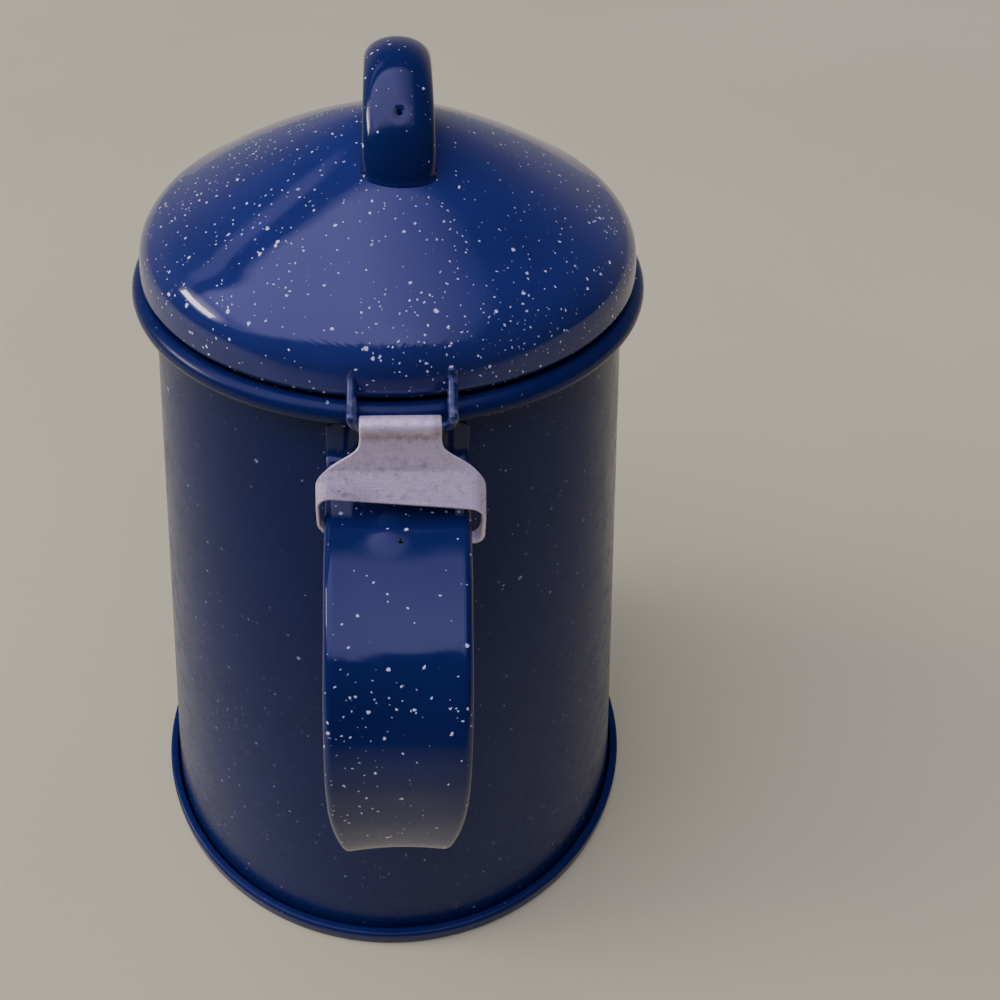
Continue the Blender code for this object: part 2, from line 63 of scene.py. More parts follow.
# Each pair is a share of the lid's radius and a share of its height above its widest ring.
LID_DOME_SHARES = (
    (0.0, 1.0), (0.114, 0.943), (0.249, 0.868), (0.385, 0.779), (0.520, 0.678),
    (0.657, 0.565), (0.793, 0.438), (0.912, 0.315), (0.978, 0.177), (1.0, 0.0),
)
# Each pair is a share of the reach beyond the top tab, and a share of the handle's height.
HANDLE_SHARES = (
    (0.060, 0.932), (0.230, 0.910), (0.557, 0.881), (0.745, 0.838), (0.856, 0.790),
    (0.935, 0.730), (0.988, 0.661), (1.000, 0.597), (0.988, 0.5175), (0.940, 0.430),
    (0.850, 0.368), (0.711, 0.3065), (0.541, 0.256), (0.385, 0.212), (0.306, 0.175),
)
# Each pair is a share of the way along the strap, and a share of its width at the top.
HANDLE_WIDTH_SHARES = (
    (0.0, 1.0), (0.13, 1.0), (0.25, 0.955), (0.45, 0.97), (0.51, 0.95), (0.56, 0.875),
    (0.61, 0.80), (0.68, 0.76), (1.0, 0.72),
)
# Each pair is a share of the way down from the clip's neck to its crease, and a share of the
# way from the neck's half width to the end of the wing.
SHOULDER_SHARES = (
    (0.0, 0.0), (0.23, 0.005), (0.40, 0.025), (0.57, 0.085), (0.70, 0.145), (0.84, 0.205),
    (1.0, 0.27),
)
# Each pair is a share of the saddle's run, and a share of the way to the end of the wing.
SADDLE_SHARES = ((0.12, 0.36), (0.26, 0.60), (0.40, 0.82), (0.55, 1.0), (0.78, 1.0), (1.0, 1.0))
# Each row is the size in metres of a layer's cells, its share of the amount, and the least and
# largest radius of a speck as shares of the cell.
SPECK_LAYERS = ((0.0011, 0.26, (0.09, 0.22)), (0.0022, 0.46, (0.07, 0.17)),
                (0.0050, 0.55, (0.06, 0.11)))
SPECK_CORE = 0.72
SPECK_STRENGTH = (0.35, 1.25)
SPECK_STRAY = 0.0007
SPECK_HEIGHT = 0.012
# Linear colours of the room's light from below, above and behind, of the roof light and of the
# window.
ROOM_LOW, ROOM_HIGH, ROOM_BACK = (0.035, 0.035, 0.04), (0.09, 0.10, 0.14), (0.34, 0.32, 0.30)
ROOF_GLOW, WINDOW_GLOW = (1.75, 1.62, 2.95), (5.0, 4.3, 5.2)


def length(label, default, text):
    """A length in metres that a user can change."""
    return FloatProperty(name=label, description=text, default=default, unit="LENGTH", precision=5)


def turn_of(label, degrees, text):
    """An angle that a user can change."""
    return FloatProperty(name=label, description=text, default=math.radians(degrees),
                         subtype="ANGLE")


def share(label, default, text):
    """A share or strength without a unit."""
    return FloatProperty(name=label, description=text, default=default)


def colour(label, default, text):
    """A linear colour that a user can change."""
    return FloatVectorProperty(name=label, description=text, default=default, subtype="COLOR",
                               size=3, min=0.0, max=1.0)


class PotBodySizes(bpy.types.PropertyGroup):
    sheet: length("Sheet", 0.0010, "Thickness of the enamelled sheet")
    rim_radius: length("Rim radius", 0.0570, "Outer radius of the rolled rim")
    bead_radius: length("Bead radius", 0.00245, "Radius of the rim's roll")
    bead_height: length("Bead height", 0.1792, "Height of the middle of the roll")
    wall_top_radius: length("Wall top radius", 0.0521, "Outer radius of the wall under the roll")
    foot_radius: length("Foot radius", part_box("base_pan")[1].x, "Outer radius of the foot seam")
    seam_width: length("Seam width", 0.0026, "Width of the folded foot seam")
    seam_height: length("Seam height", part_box("base_pan")[1].z, "Height of the folded foot seam")
    seam_round: length("Seam round", 0.0011, "Radius of the seam's edges")
    seam_gap: length("Seam gap", 0.0003, "Groove between the wall and the seam")
    fillet: length("Rim fillet", 0.0014, "Enamel in the corner under the roll")
    unevenness: length("Unevenness", 0.00010, "How far the seam strays from a true circle")
    hole_radius: length("Strainer hole radius", 0.0015, "Radius of the holes behind the spout")
    hole_pitch: length("Strainer pitch", 0.0062, "Distance between the strainer holes")
    hole_middle: length("Strainer height", 0.1400, "Height of the middle of the strainer")
    hole_rows: IntProperty(name="Strainer rows", description="Rows of strainer holes", default=5)


class LidSizes(bpy.types.PropertyGroup):
    radius: length("Lid radius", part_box("lid_shell")[1].x, "Widest radius of the lid")
    equator: length("Widest height", 0.1840, "Height of the lid's widest ring")
    apex: length("Apex height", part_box("lid_shell")[1].z, "Height of the top of the dome")
    sheet: length("Lid sheet", 0.0009, "Thickness of the lid")
    edge_round: length("Edge round", 0.0020, "Radius where the edge turns in")
    seat_gap: length("Seat gap", 0.0003, "Space between the lid and the rolled rim")
    skirt_play: length("Skirt play", 0.0009, "Space between the skirt and the wall")
    skirt_depth: length("Skirt depth", 0.0072, "How far the skirt hangs into the pot")


class KnobSizes(bpy.types.PropertyGroup):
    foot_reach: length("Foot reach", 0.0220, "Distance of the knob's feet from the lid's middle")
    top: length("Top height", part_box("lid_knob")[1].z, "Height of the knob's crown")
    foot_width: length("Foot width", 0.0152, "Width of the strap at its feet")
    top_width: length("Top width", 0.0134, "Width of the strap at its crown")
    edge_depth: length("Edge depth", 0.0040, "How far the sides roll down")
    overrun: length("Overrun", 0.0040, "Depth below the lid at which the arch would be upright")
    shift: length("Shift", 0.0020, "Sideways place of the knob")
    vent_angle: turn_of("Vent angle", 43, "Place of the small hole along the arch")


class HandleSizes(bpy.types.PropertyGroup):
    top: length("Top", 0.1756, "Height of the strap's upper end")
    foot: length("Foot", 0.0500, "Height of the strap's lower end")
    reach: length("Reach", 0.1040, "Distance of the grip from the pot's axis")
    width: length("Width", 0.0280, "Width of the strap at its top")
    edge_depth: length("Edge depth", 0.0026, "Depth of the turned-down edges")
    edge_round: length("Edge round", 0.0016, "Radius of the turned-down edges")
    dish: length("Dish", 0.0006, "How far the edges stand above the middle of the strap")
    shift: length("Shift", 0.0012, "Sideways place of the upper end")
    lean: length("Lean", 0.0018, "How far the lower end leans to the left")
    upper_bend: length("Upper bend", 0.1690, "Height at which the strap leaves the wall")
    lower_bend: length("Lower bend", 0.0675, "Height at which the strap meets the wall again")
    corner: length("Tab corner", 0.0022, "Corner radius of the strap's ends")
    stand_off: length("Stand-off", 0.0003, "Space between the strap's tabs and the wall")
    vent_share: share("Vent place", 0.148, "Share of the way along the strap to the small hole")
    vent_side: length("Vent side", 0.0003, "Sideways place of the small hole on the strap")
    swell_side: length("Swell side", -0.0025, "Sideways place of the swelling from the small hole")
    swell_rise: length("Swell rise", 0.0018, "How far the swelling lies above the small hole")
    swell_radius: length("Swell radius", 0.0030, "Radius at which the swelling runs out")
    swell_height: length("Swell height", 0.00052, "Height of the swelling by the small hole")


class VentSizes(bpy.types.PropertyGroup):
    radius: length("Vent radius", 0.0006, "Radius of the small vent holes")
    dimple: length("Dimple radius", 0.0019, "Radius of the dimple round a vent hole")
    depth: length("Dimple depth", 0.00035, "Depth of the dimple")


class HingeSizes(bpy.types.PropertyGroup):
    reach: length("Reach", -LID_HINGE["pos_m"][1], "Distance of the hinge from the pot's axis")
    height: length("Height", LID_HINGE["pos_m"][2], "Height of the hinge's axis")
    shift: length("Shift", LID_HINGE["pos_m"][0], "Sideways place of the wire")
    wire_radius: length("Wire radius", 0.0010, "Radius of the wire")
    spacing: length("Leg spacing", 0.0185, "Distance between the legs")
    bend: length("Bend", 0.0019, "Radius of the wire's lower corners")
    rise: length("Leg rise", 0.0081, "Height of the legs' roots above the axis")
    root_share: share("Root share", 0.62, "How early the legs turn towards the lid")
    meniscus: length("Meniscus", 0.0013, "Enamel drawn up round the roots of the legs")


class ClipSizes(bpy.types.PropertyGroup):
    sheet: length("Sheet", 0.00065, "Thickness of the steel")
    knuckle_radius: length("Knuckle radius", 0.0021, "Outer radius of the roll round the wire")
    knuckle_start: turn_of("Knuckle start", 270, "Where the roll's free edge lies")
    knuckle_end: turn_of("Knuckle end", -40, "Where the roll meets the neck")
    neck_width: length("Neck width", 0.0150, "Width of the neck and the roll")
    neck_run: length("Neck run", 0.0020, "How far the neck leans out from roll to saddle")
    neck_fall: length("Neck fall", 0.0058, "Height of the neck from roll to saddle")
    crease_round: length("Crease round", 0.0009, "How softly the clip bends")
    run: length("Saddle run", 0.0040, "How far the saddle reaches out over the strap")
    slope: turn_of("Saddle slope", 53, "Slope of the saddle")
    width: length("Saddle width", 0.0318, "Width over the wings")
    corner: length("Saddle corner", 0.0030, "Radius where the wings turn down")
    curl: length("Wing curl", 0.0024, "Radius at which the wings turn in")
    tuck: length("Wing tuck", 0.0012, "Straight length of the wings under the strap")
    clearance: length("Clearance", 0.0014, "Space between the wings and the strap's edges")
    shift: length("Shift", 0.0016, "Sideways place of the clip")
    skew: length("Skew", 0.00076, "How far the right wing stands forward")


class SpoutSizes(bpy.types.PropertyGroup):
    bottom: length("Bottom", 0.0950, "Height of the spout's lower end")
    top: length("Top", 0.1710, "Height of the spout's open edge at the wall")
    lip_rise: length("Lip rise", 0.0040, "How much higher the lip is than the edge at the wall")
    reach: length("Reach", 0.0970, "Distance of the lip from the pot's axis")
    half_width: length("Half width", 0.0230, "Half the width at the open edge")
    root_depth: length("Root depth", 0.0100, "Depth behind the wall at which the sides would meet")


class FinishColours(bpy.types.PropertyGroup):
    lid_blue: colour("Lid blue", (0.022, 0.035, 0.160), "Enamel of the lid")
    # The body's and the handle's blues are darker copies of the lid's enamel: painted shade for the
    # upright and downward-facing parts.
    body_blue: colour("Body blue", (0.006, 0.016, 0.092), "Enamel of the body, base and spout")
    handle_blue: colour("Handle blue", (0.008, 0.019, 0.100), "Enamel of the handle, knob and wire")
    shade_blue: colour("Shade blue", (0.004, 0.010, 0.050), "Enamel where it lies thin")
    speck_white: colour("Speck white", (0.98, 0.99, 1.00), "Specks in the enamel")
    speck_faint: colour("Faint speck", (0.30, 0.38, 0.52), "Specks that lie deeper in the glaze")
    steel: colour("Steel", (1.0, 0.86, 0.81), "Bare steel of the clip")
    # Dark steel also colours the painted shade in the clip's crease and under its roll.
    steel_dark: colour("Dark steel", (0.24, 0.20, 0.20), "Stains and pits in the steel")
    wear_grey: colour("Wear grey", (0.34, 0.35, 0.42), "Wire where the enamel is rubbed")
    floor: colour("Floor", (0.76, 0.735, 0.35), "Colour of the floor")


class StudioSettings(bpy.types.PropertyGroup):
    floor_radius: length("Floor radius", 2.4, "Half the side of the floor")
    floor_drop: length("Floor drop", 0.0001, "How far the floor lies under the base")
    panel_power: share("Panel power", 3.2, "Power of the window panel in watts")
    panel_place: FloatVectorProperty(name="Panel place", description="Place of the window panel",
                                     default=(-1.15, 0.08, 0.62), subtype="XYZ")
    lens: share("Lens", 36.036, "Focal length in millimetres for a 36 mm wide frame")
    frame_shift: share("Frame shift", 0.07651, "Sideways shift of the frame")
    yaw: share("Yaw", 0.0421165, "Turn of the camera about Z in radians")
    pitch: share("Pitch", 0.7468753, "How far the camera looks down in radians")
    roll: share("Roll", 0.0164708, "Turn of the camera about its own axis in radians")
    place: FloatVectorProperty(name="Camera place", description="Where the camera stands",
                               default=(0.0, -0.20274, 0.29450), subtype="XYZ")


def columns(*values):
    """The values side by side as the last axis of one array."""
    return np.stack(np.broadcast_arrays(*values), axis=-1)


def falling(distance, reach):
    """One at no distance, falling as a bell curve of it."""
    return np.exp(-(distance / reach) ** 2)


def even_steps(points, count):
    """Points at equal steps of length along straight runs between the given points."""
    points = np.asarray(points, dtype=float)
    travel = path_lengths(points)
    wanted = np.linspace(0, travel[-1], count)
    return columns(*[np.interp(wanted, travel, column) for column in points.T])


def path_lengths(points):
    """Length from the first point to each point, as the running sum of the steps."""
    steps = np.linalg.norm(np.diff(points, axis=0), axis=-1)
    return np.concatenate([np.zeros((1,) + steps.shape[1:]), np.cumsum(steps, axis=0)])


def smooth_line(points, count):
    """Cubic through the points whose slope at each is half the step between its neighbours,
    sampled at equal steps of its length."""
    points = np.asarray(points, dtype=float)
    last = len(points) - 1
    at = np.linspace(0, last, 24 * last + 1)
    i = np.minimum(at.astype(int), last - 1)
    t = (at - i)[:, None]
    a, b = points[np.maximum(i - 1, 0)], points[i]
    c, d = points[i + 1], points[np.minimum(i + 2, last)]
    fine = 0.5 * (2 * b + (c - a) * t + (2 * a - 5 * b + 4 * c - d) * t ** 2
                  + (3 * b - a - 3 * c + d) * t ** 3)
    return even_steps(fine, count)


def softened(points, reach, count):
    """The line at equal steps, each point then averaged with its neighbours within the reach
    under a raised cosine, which rounds the corners. Its ends are mirrored, so they stay."""
    travel = path_lengths(np.asarray(points)[:, :2])
    wanted = np.linspace(0, travel[-1], count)
    line = columns(*[np.interp(wanted, travel, column) for column in np.asarray(points).T])
    half = max(int(reach / (travel[-1] / (count - 1))), 1)
    window = np.hanning(2 * half + 3)[1:-1]
    window = window / window.sum()
    head = 2 * line[0] - line[half:0:-1]
    tail = 2 * line[-1] - line[-2:-half - 2:-1]
    padded = np.vstack([head, line, tail])
    return columns(*[np.convolve(column, window, "valid") for column in padded.T])


def arc(centre, radius, start, end, count):
    """Points on an arc in a plane: the centre plus the radius times cosine and sine."""
    angle = np.linspace(start, end, count)
    return columns(centre[0] + radius * np.cos(angle), centre[1] + radius * np.sin(angle))


def edge_steps(count, size, edge):
    """Shares from 0 to 1 in even steps, with extra ones that follow a quarter circle within
    the edge's width of both ends."""
    quarter = (1 - np.cos(np.linspace(0, math.pi / 2, 5))) * edge / size
    return np.concatenate([quarter, np.linspace(quarter[-1], 1 - quarter[-1], count)[1:-1],
                           1 - quarter[::-1]])


def unit(vectors):
    """The vectors at length one."""
    return vectors / np.maximum(np.linalg.norm(vectors, axis=-1, keepdims=True), 1e-12)


def surface_normals(points, along, across):
    """Cross product of the slope across the grid and the slope along it."""
    return unit(np.cross(np.gradient(points, across, axis=1), np.gradient(points, along, axis=0)))


def edge_distance(points):
    """Distance of each grid point from the nearer end of its row and of its column."""
    down = path_lengths(points)
    side = np.swapaxes(path_lengths(np.swapaxes(points, 0, 1)), 0, 1)
    return np.minimum(down, down[-1:] - down), np.minimum(side, side[:, -1:] - side)


def thick_sheet(points, along, across, thickness):
    """Closed shell below an outer surface. Its middle lies half the thickness down, and its
    two faces stand off the middle by half the thickness times the square root of
    1 - (1 - d / half) squared, d being the distance to an edge, so the edges are half round."""
    half = thickness / 2
    normals = surface_normals(points, along, across)
    stand = half
    for distance in edge_distance(points):
        near = np.clip(distance / half, 0, 1)
        stand = stand * np.sqrt(1 - (1 - near) ** 2)
    stand = stand[..., None]
    middle = points - half * normals
    inner = (middle - stand * normals)[:, -2:0:-1]
    return np.concatenate([middle + stand * normals, inner], axis=1)


def sheet_mark(values):
    """Values on an outer surface, laid out for both faces of the shell made from it."""
    return np.concatenate([values, values[:, -2:0:-1]], axis=1)


def turned(profile, segments):
    """Radius and height carried round the Z axis: x = r cos a, y = r sin a, z = height."""
    angle = np.linspace(0, FULL_TURN, segments, endpoint=False)[:, None]
    radius, height = np.asarray(profile).T
    return columns(radius * np.cos(angle), radius * np.sin(angle), height + 0 * angle)


def grid_piece(name, points, wrap_rows=False, wrap_columns=False, marks=()):
    """A piece with a quad between each four neighbours of the grid of points. Points that
    coincide at a pole or an edge are merged, and the faces are turned outwards."""
    rows, width = points.shape[:2]
    r = np.arange(rows if wrap_rows else rows - 1)[:, None]
    c = np.arange(width if wrap_columns else width - 1)[None, :]
    r_next, c_next = (r + 1) % rows, (c + 1) % width
    this, following = r * width, r_next * width
    corners = (this + c, this + c_next, following + c_next, following + c)
    faces = np.stack(corners, axis=-1).reshape(-1, 4)
    mesh = bpy.data.meshes.new(name)
    mesh.from_pydata(points.reshape(-1, 3).tolist(), [], faces.tolist())
    for label, values in dict(marks).items():
        layer = mesh.attributes.new(label, "FLOAT", "POINT")
        layer.data.foreach_set("value", np.asarray(values, dtype=float).ravel())
    merged = bmesh.new()
    merged.from_mesh(mesh)
    bmesh.ops.remove_doubles(merged, verts=merged.verts, dist=1e-7)
    bmesh.ops.recalc_face_normals(merged, faces=merged.faces)
    merged.to_mesh(mesh)
    merged.free()
    mesh.shade_smooth()
    piece = bpy.data.objects.new(name, mesh)
    bpy.context.scene.collection.objects.link(piece)
    return piece


def drilled(piece, places, radius, depth, sides=28):
    """The piece with a round hole taken out along each place's own Z axis."""
    drill = bmesh.new()
    for place in places:
        bmesh.ops.create_cone(drill, cap_ends=True, segments=sides, radius1=radius,
                              radius2=radius, depth=depth, matrix=place)
    mesh = bpy.data.meshes.new("drill")
    drill.to_mesh(mesh)
    drill.free()
    cutter = bpy.data.objects.new("drill", mesh)
    bpy.context.scene.collection.objects.link(cutter)
    bore = piece.modifiers.new("holes", "BOOLEAN")
    bore.operation = "DIFFERENCE"
    bore.solver = "EXACT"
    bore.object = cutter
    whole = bpy.context.evaluated_depsgraph_get()
    mesh = bpy.data.meshes.new_from_object(piece.evaluated_get(whole))
    piece.modifiers.clear()
    piece.data = mesh
    mesh.shade_smooth()
    mesh.set_sharp_from_angle(angle=math.radians(50))
    bpy.data.objects.remove(cutter)
    return piece


def dressed(piece, node, body, material):
    """The piece in its material, riding on its body in place of the CAD node."""
    piece.data.materials.clear()
    piece.data.materials.append(bpy.data.materials[material])
    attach(piece, body)
    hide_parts(node)
    return piece


def wall_radius(height):
    """Outer radius of the tapered wall: a straight line from the foot seam to the rim."""
    body = bpy.context.scene.pot_body
    low = body.sheet + body.seam_gap
    low_radius = body.foot_radius - body.seam_width - body.seam_gap
    slope = (body.wall_top_radius - low_radius) / (body.bead_height - low)
    return low_radius + slope * (height - low)


def lid_dome(count):
    """Outer profile of the lid's dome: a smooth line through its table of shares."""
    lid = bpy.context.scene.pot_lid
    across, up = np.transpose(LID_DOME_SHARES)
    rise = lid.apex - lid.equator
    return smooth_line(columns(lid.radius * across, lid.equator + rise * up), count)


def lid_height(radius):
    """Height of the lid's outer face at a radius."""
    dome = lid_dome(240)
    return np.interp(radius, dome[:, 0], dome[:, 1])


class Value:
    """A socket in a node tree. Sums on values add nodes to that tree."""

    def __init__(self, tree, socket):
        self.tree, self.socket = tree, socket

    def sum(self, operation, other, clamp=False):
        return value(self.tree, "ShaderNodeMath", {0: self, 1: other}, operation=operation,
                     use_clamp=clamp)

    def __add__(self, other):
        return self.sum("ADD", other)

    def __sub__(self, other):
        return self.sum("SUBTRACT", other)

    def __mul__(self, other):
        return self.sum("MULTIPLY", other)

    def __truediv__(self, other):
        return self.sum("DIVIDE", other)

    def to(self, socket):
        """Link the value to a socket."""
        self.tree.links.new(self.socket, socket)


def feeds(tree, kind, inputs=(), **settings):
    """A node with its settings, its inputs linked to values or set to numbers."""
    node = tree.nodes.new(kind)
    for name, setting in settings.items():
        setattr(node, name, setting)
    for name, given in dict(inputs).items():
        if isinstance(given, Value):
            given.to(node.inputs[name])
        else:
            node.inputs[name].default_value = given
    return node


def value(tree, kind, inputs=(), output=0, **settings):
    """One output of a new node."""
    return Value(tree, feeds(tree, kind, inputs, **settings).outputs[output])


def between(given, low, high, start=0.0, end=1.0):
    """The value stretched so that low gives start and high gives end, and held there."""
    inputs = {"Value": given, "From Min": low, "From Max": high, "To Min": start, "To Max": end}
    return value(given.tree, "ShaderNodeMapRange", inputs)


def bell(given, middle, reach):
    """One at the middle, falling as a parabola to zero at the reach on either side."""
    away = (given - middle) / reach
    return between(away * away, 0.0, 1.0, 1.0, 0.0)


def mixed(factor, first, second, blend_type="MIX"):
    """A colour between two colours."""
    tree = next(given.tree for given in (factor, first, second) if isinstance(given, Value))
    return value(tree, "ShaderNodeMix", {0: factor, 6: first, 7: second}, 2, data_type="RGBA",
                 blend_type=blend_type)


def noise(spot, scale, detail=2.0, roughness=0.5):
    """Soft noise about 0.5."""
    inputs = {"Vector": spot, "Scale": scale, "Detail": detail, "Roughness": roughness}
    return value(spot.tree, "ShaderNodeTexNoise", inputs)


def parts(given, kind="Color"):
    """The three parts of a colour or, with the kind XYZ, of a place."""
    node = feeds(given.tree, "ShaderNodeSeparate" + kind, {0: given})
    return [Value(given.tree, socket) for socket in node.outputs]


def object_place(tree):
    """Place in the piece's own coordinates."""
    return value(tree, "ShaderNodeTexCoord", output="Object")


def vector_sum(spot, operation, inputs):
    """The place scaled, or moved by another vector."""
    return value(spot.tree, "ShaderNodeVectorMath", {0: spot, **inputs}, operation=operation)


def relief_of(height, strength=1.0):
    """Normals of a surface raised by the height in millimetres."""
    inputs = {"Height": height, "Strength": strength, "Distance": 0.001}
    return value(height.tree, "ShaderNodeBump", inputs)


def opaque(rgb):
    """The colour with full alpha."""
    return (*rgb, 1.0)


def new_group(name, inputs, outputs):
    """A shader node group with its sockets: its tree, its inputs by name and its end node."""
    tree = bpy.data.node_groups.new(name, "ShaderNodeTree")
    for label, kind, default in inputs:
        socket = tree.interface.new_socket(name=label, in_out="INPUT", socket_type=kind)
        socket.default_value = default
    for label, kind in outputs:
        tree.interface.new_socket(name=label, in_out="OUTPUT", socket_type=kind)
    start, end = tree.nodes.new("NodeGroupInput"), tree.nodes.new("NodeGroupOutput")
    return tree, {label: Value(tree, start.outputs[label]) for label, _, _ in inputs}, end.inputs


def speck_layer(spot, size, keep, spread):
    """Mask of specks: one in each cell of the given size, kept where the cell's own chance is
    below the keep value, with a radius and a strength that differ from cell to cell."""
    cells = feeds(spot.tree, "ShaderNodeTexVoronoi", {"Vector": spot, "Scale": 1 / size}).outputs
    chance, spare, _ = parts(Value(spot.tree, cells["Color"]))
    radius = between(spare, 0, 1, *spread)
    mask = between(Value(spot.tree, cells["Distance"]), radius, radius * SPECK_CORE)
    strength = between(spare, 0, 1, *SPECK_STRENGTH)
    return (mask * chance.sum("LESS_THAN", keep)).sum("MULTIPLY", strength, True)


def make_speck_group():
    """Specks of three sizes thrown over the glaze in clusters."""
    _, given, end = new_group(
        "enamel_specks",
        [("Amount", "NodeSocketFloat", 0.3), ("Fineness", "NodeSocketFloat", 1.0)],
        [("Mask", "NodeSocketFloat")])
    amount, fineness = given.values()
    spot = vector_sum(object_place(amount.tree), "SCALE", {"Scale": fineness})
    stray = value(amount.tree, "ShaderNodeTexNoise",
                  {"Vector": spot, "Scale": 1500.0, "Detail": 1.0}, "Color")
    stray = vector_sum(stray, "SUBTRACT", {1: (0.5, 0.5, 0.5)})
    spot = vector_sum(spot, "ADD", {1: vector_sum(stray, "SCALE", {"Scale": SPECK_STRAY})})
    amount = amount * between(noise(spot, 35.0, 2.0, 0.6), 0.38, 0.66, 0.25, 1.9)
    small, middle, large = [speck_layer(spot, size, amount * part, spread)
                            for size, part, spread in SPECK_LAYERS]
    small.sum("MAXIMUM", middle).sum("MAXIMUM", large).to(end["Mask"])


def make_glaze_group():
    """Depth of the glaze, its gloss and its soft ripple, all from the object's coordinates."""
    tree, given, end = new_group(
        "enamel_glaze",
        [("Blue", "NodeSocketColor", opaque((0.02, 0.06, 0.25))),
         ("Thin Blue", "NodeSocketColor", opaque((0.01, 0.02, 0.08))),
         ("Thinness", "NodeSocketFloat", 0.0), ("Gloss", "NodeSocketFloat", 0.10),
         ("Ripple", "NodeSocketFloat", 0.16)],
        [("Color", "NodeSocketColor"), ("Roughness", "NodeSocketFloat"),
         ("Height", "NodeSocketFloat")])
    spot = object_place(tree)
    clouds = between(noise(spot, 45.0, 3.0, 0.55), 0.35, 0.70, 0.0, 0.30)
    thin = clouds.sum("MAXIMUM", given["Thinness"])
    smear = between(noise(spot, 160.0, 4.0, 0.6), 0.45, 0.75, 0.0, 0.10)
    swell = noise(spot, 38.0, 1.0, 0.4) * given["Ripple"]
    peel = noise(spot, 420.0, 2.0, 0.5) * 0.006
    mixed(thin, given["Blue"], given["Thin Blue"]).to(end["Color"])
    (given["Gloss"] + smear).to(end["Roughness"])
    (swell + peel).to(end["Height"])


def new_material(name):
    """A material with its tree and its own shader node."""
    material = bpy.data.materials.new(name)
    material.use_nodes = True
    return material, material.node_tree, material.node_tree.nodes["Principled BSDF"]


def enamel(name, blue, speck, amount, gloss, fineness=1.0, shine=0.5, thin_edges=False,
           rubbed=0.0, ripple=0.16):
    """Glossy vitreous enamel with specks. Thin edges follow the mark on the mesh, and rubbed
    shows the grey under the enamel in patches."""
    finish = bpy.context.scene.pot_finish
    _, tree, shader = new_material(name)
    inputs = {"Blue": opaque(blue), "Thin Blue": opaque(finish.shade_blue), "Gloss": gloss,
              "Ripple": ripple}
    if thin_edges:
        inputs["Thinness"] = value(tree, "ShaderNodeAttribute", output="Fac",
                                   attribute_name="edge") * 0.7
    glaze = feeds(tree, "ShaderNodeGroup", inputs, node_tree=bpy.data.node_groups["enamel_glaze"])
    specks = feeds(tree, "ShaderNodeGroup", {"Amount": amount, "Fineness": fineness},
                   node_tree=bpy.data.node_groups["enamel_specks"])
    mask = Value(tree, specks.outputs["Mask"])
    tone = mixed(mask, Value(tree, glaze.outputs["Color"]), opaque(speck))
    if rubbed:
        patch = between(noise(object_place(tree), 380.0, 4.0, 0.6), 0.48, 0.66, 0.0, rubbed)
        tone = mixed(patch, tone, opaque(finish.wear_grey))
    relief = Value(tree, glaze.outputs["Height"]) + mask * SPECK_HEIGHT
    tone.to(shader.inputs["Base Color"])
    Value(tree, glaze.outputs["Roughness"]).to(shader.inputs["Roughness"])
    relief_of(relief).to(shader.inputs["Normal"])
    shader.inputs["IOR"].default_value = 1.5
    shader.inputs["Specular IOR Level"].default_value = shine


def bare_steel(name):
    """Dull galvanised steel, mottled, pitted, lightly scratched, darkened by stains and by
    painted shade in the crease and under the roll, and lighter on its edges as a painted highlight.
    """
    finish = bpy.context.scene.pot_finish
    _, tree, shader = new_material(name)
    spot = object_place(tree)
    mottle, broad = noise(spot, 620.0, 6.0, 0.7), noise(spot, 130.0, 3.0, 0.55)
    cell = parts(value(tree, "ShaderNodeTexVoronoi", {"Vector": spot, "Scale": 3200.0},
                       "Color"))[0]
    long_way = value(tree, "ShaderNodeMapping", {"Vector": spot, "Rotation": (0.3, 0.5, 0.9),
                                                 "Scale": (1.0, 14.0, 1.0)})
    scratch = noise(long_way, 260.0, 3.0, 0.7)
    dirt, edge = [value(tree, "ShaderNodeAttribute", output="Fac", attribute_name=label)
                  for label in ("dirt", "edge")]
    pits = between(noise(spot, 1500.0, 3.0, 0.7), 0.60, 0.68, 0.0, 1.0)
    pits = pits * between(dirt, 0.15, 0.7, 0.12, 0.9)
    stain_shade_and_highlight = between(mottle, 0.49, 0.66, 0.0, 0.34) + between(broad, 0.48, 0.70, 0.0, 0.18)
    # Darker where the clip's mark lies: dark spots, and painted shade in the crease and under the
    # roll.
    stain_shade_and_highlight = (stain_shade_and_highlight + cell * 0.20).sum("ADD", dirt * 0.42, True)
    # Lighter along the sheet's rims: a painted highlight.
    stain_shade_and_highlight = stain_shade_and_highlight.sum("MAXIMUM", pits).sum("SUBTRACT", edge * 0.5, True)
    rough = between(mottle, 0.35, 0.7, 0.42, 0.60).sum("ADD", stain_shade_and_highlight * 0.18, True)
    relief = scratch * 0.060 + mottle * 0.090 - pits * 0.04
    mixed(stain_shade_and_highlight, opaque(finish.steel), opaque(finish.steel_dark)).to(shader.inputs["Base Color"])
    rough.to(shader.inputs["Roughness"])
    relief_of(relief, 0.8).to(shader.inputs["Normal"])
    shader.inputs["Metallic"].default_value = 0.42
    shader.inputs["Specular IOR Level"].default_value = 0.3


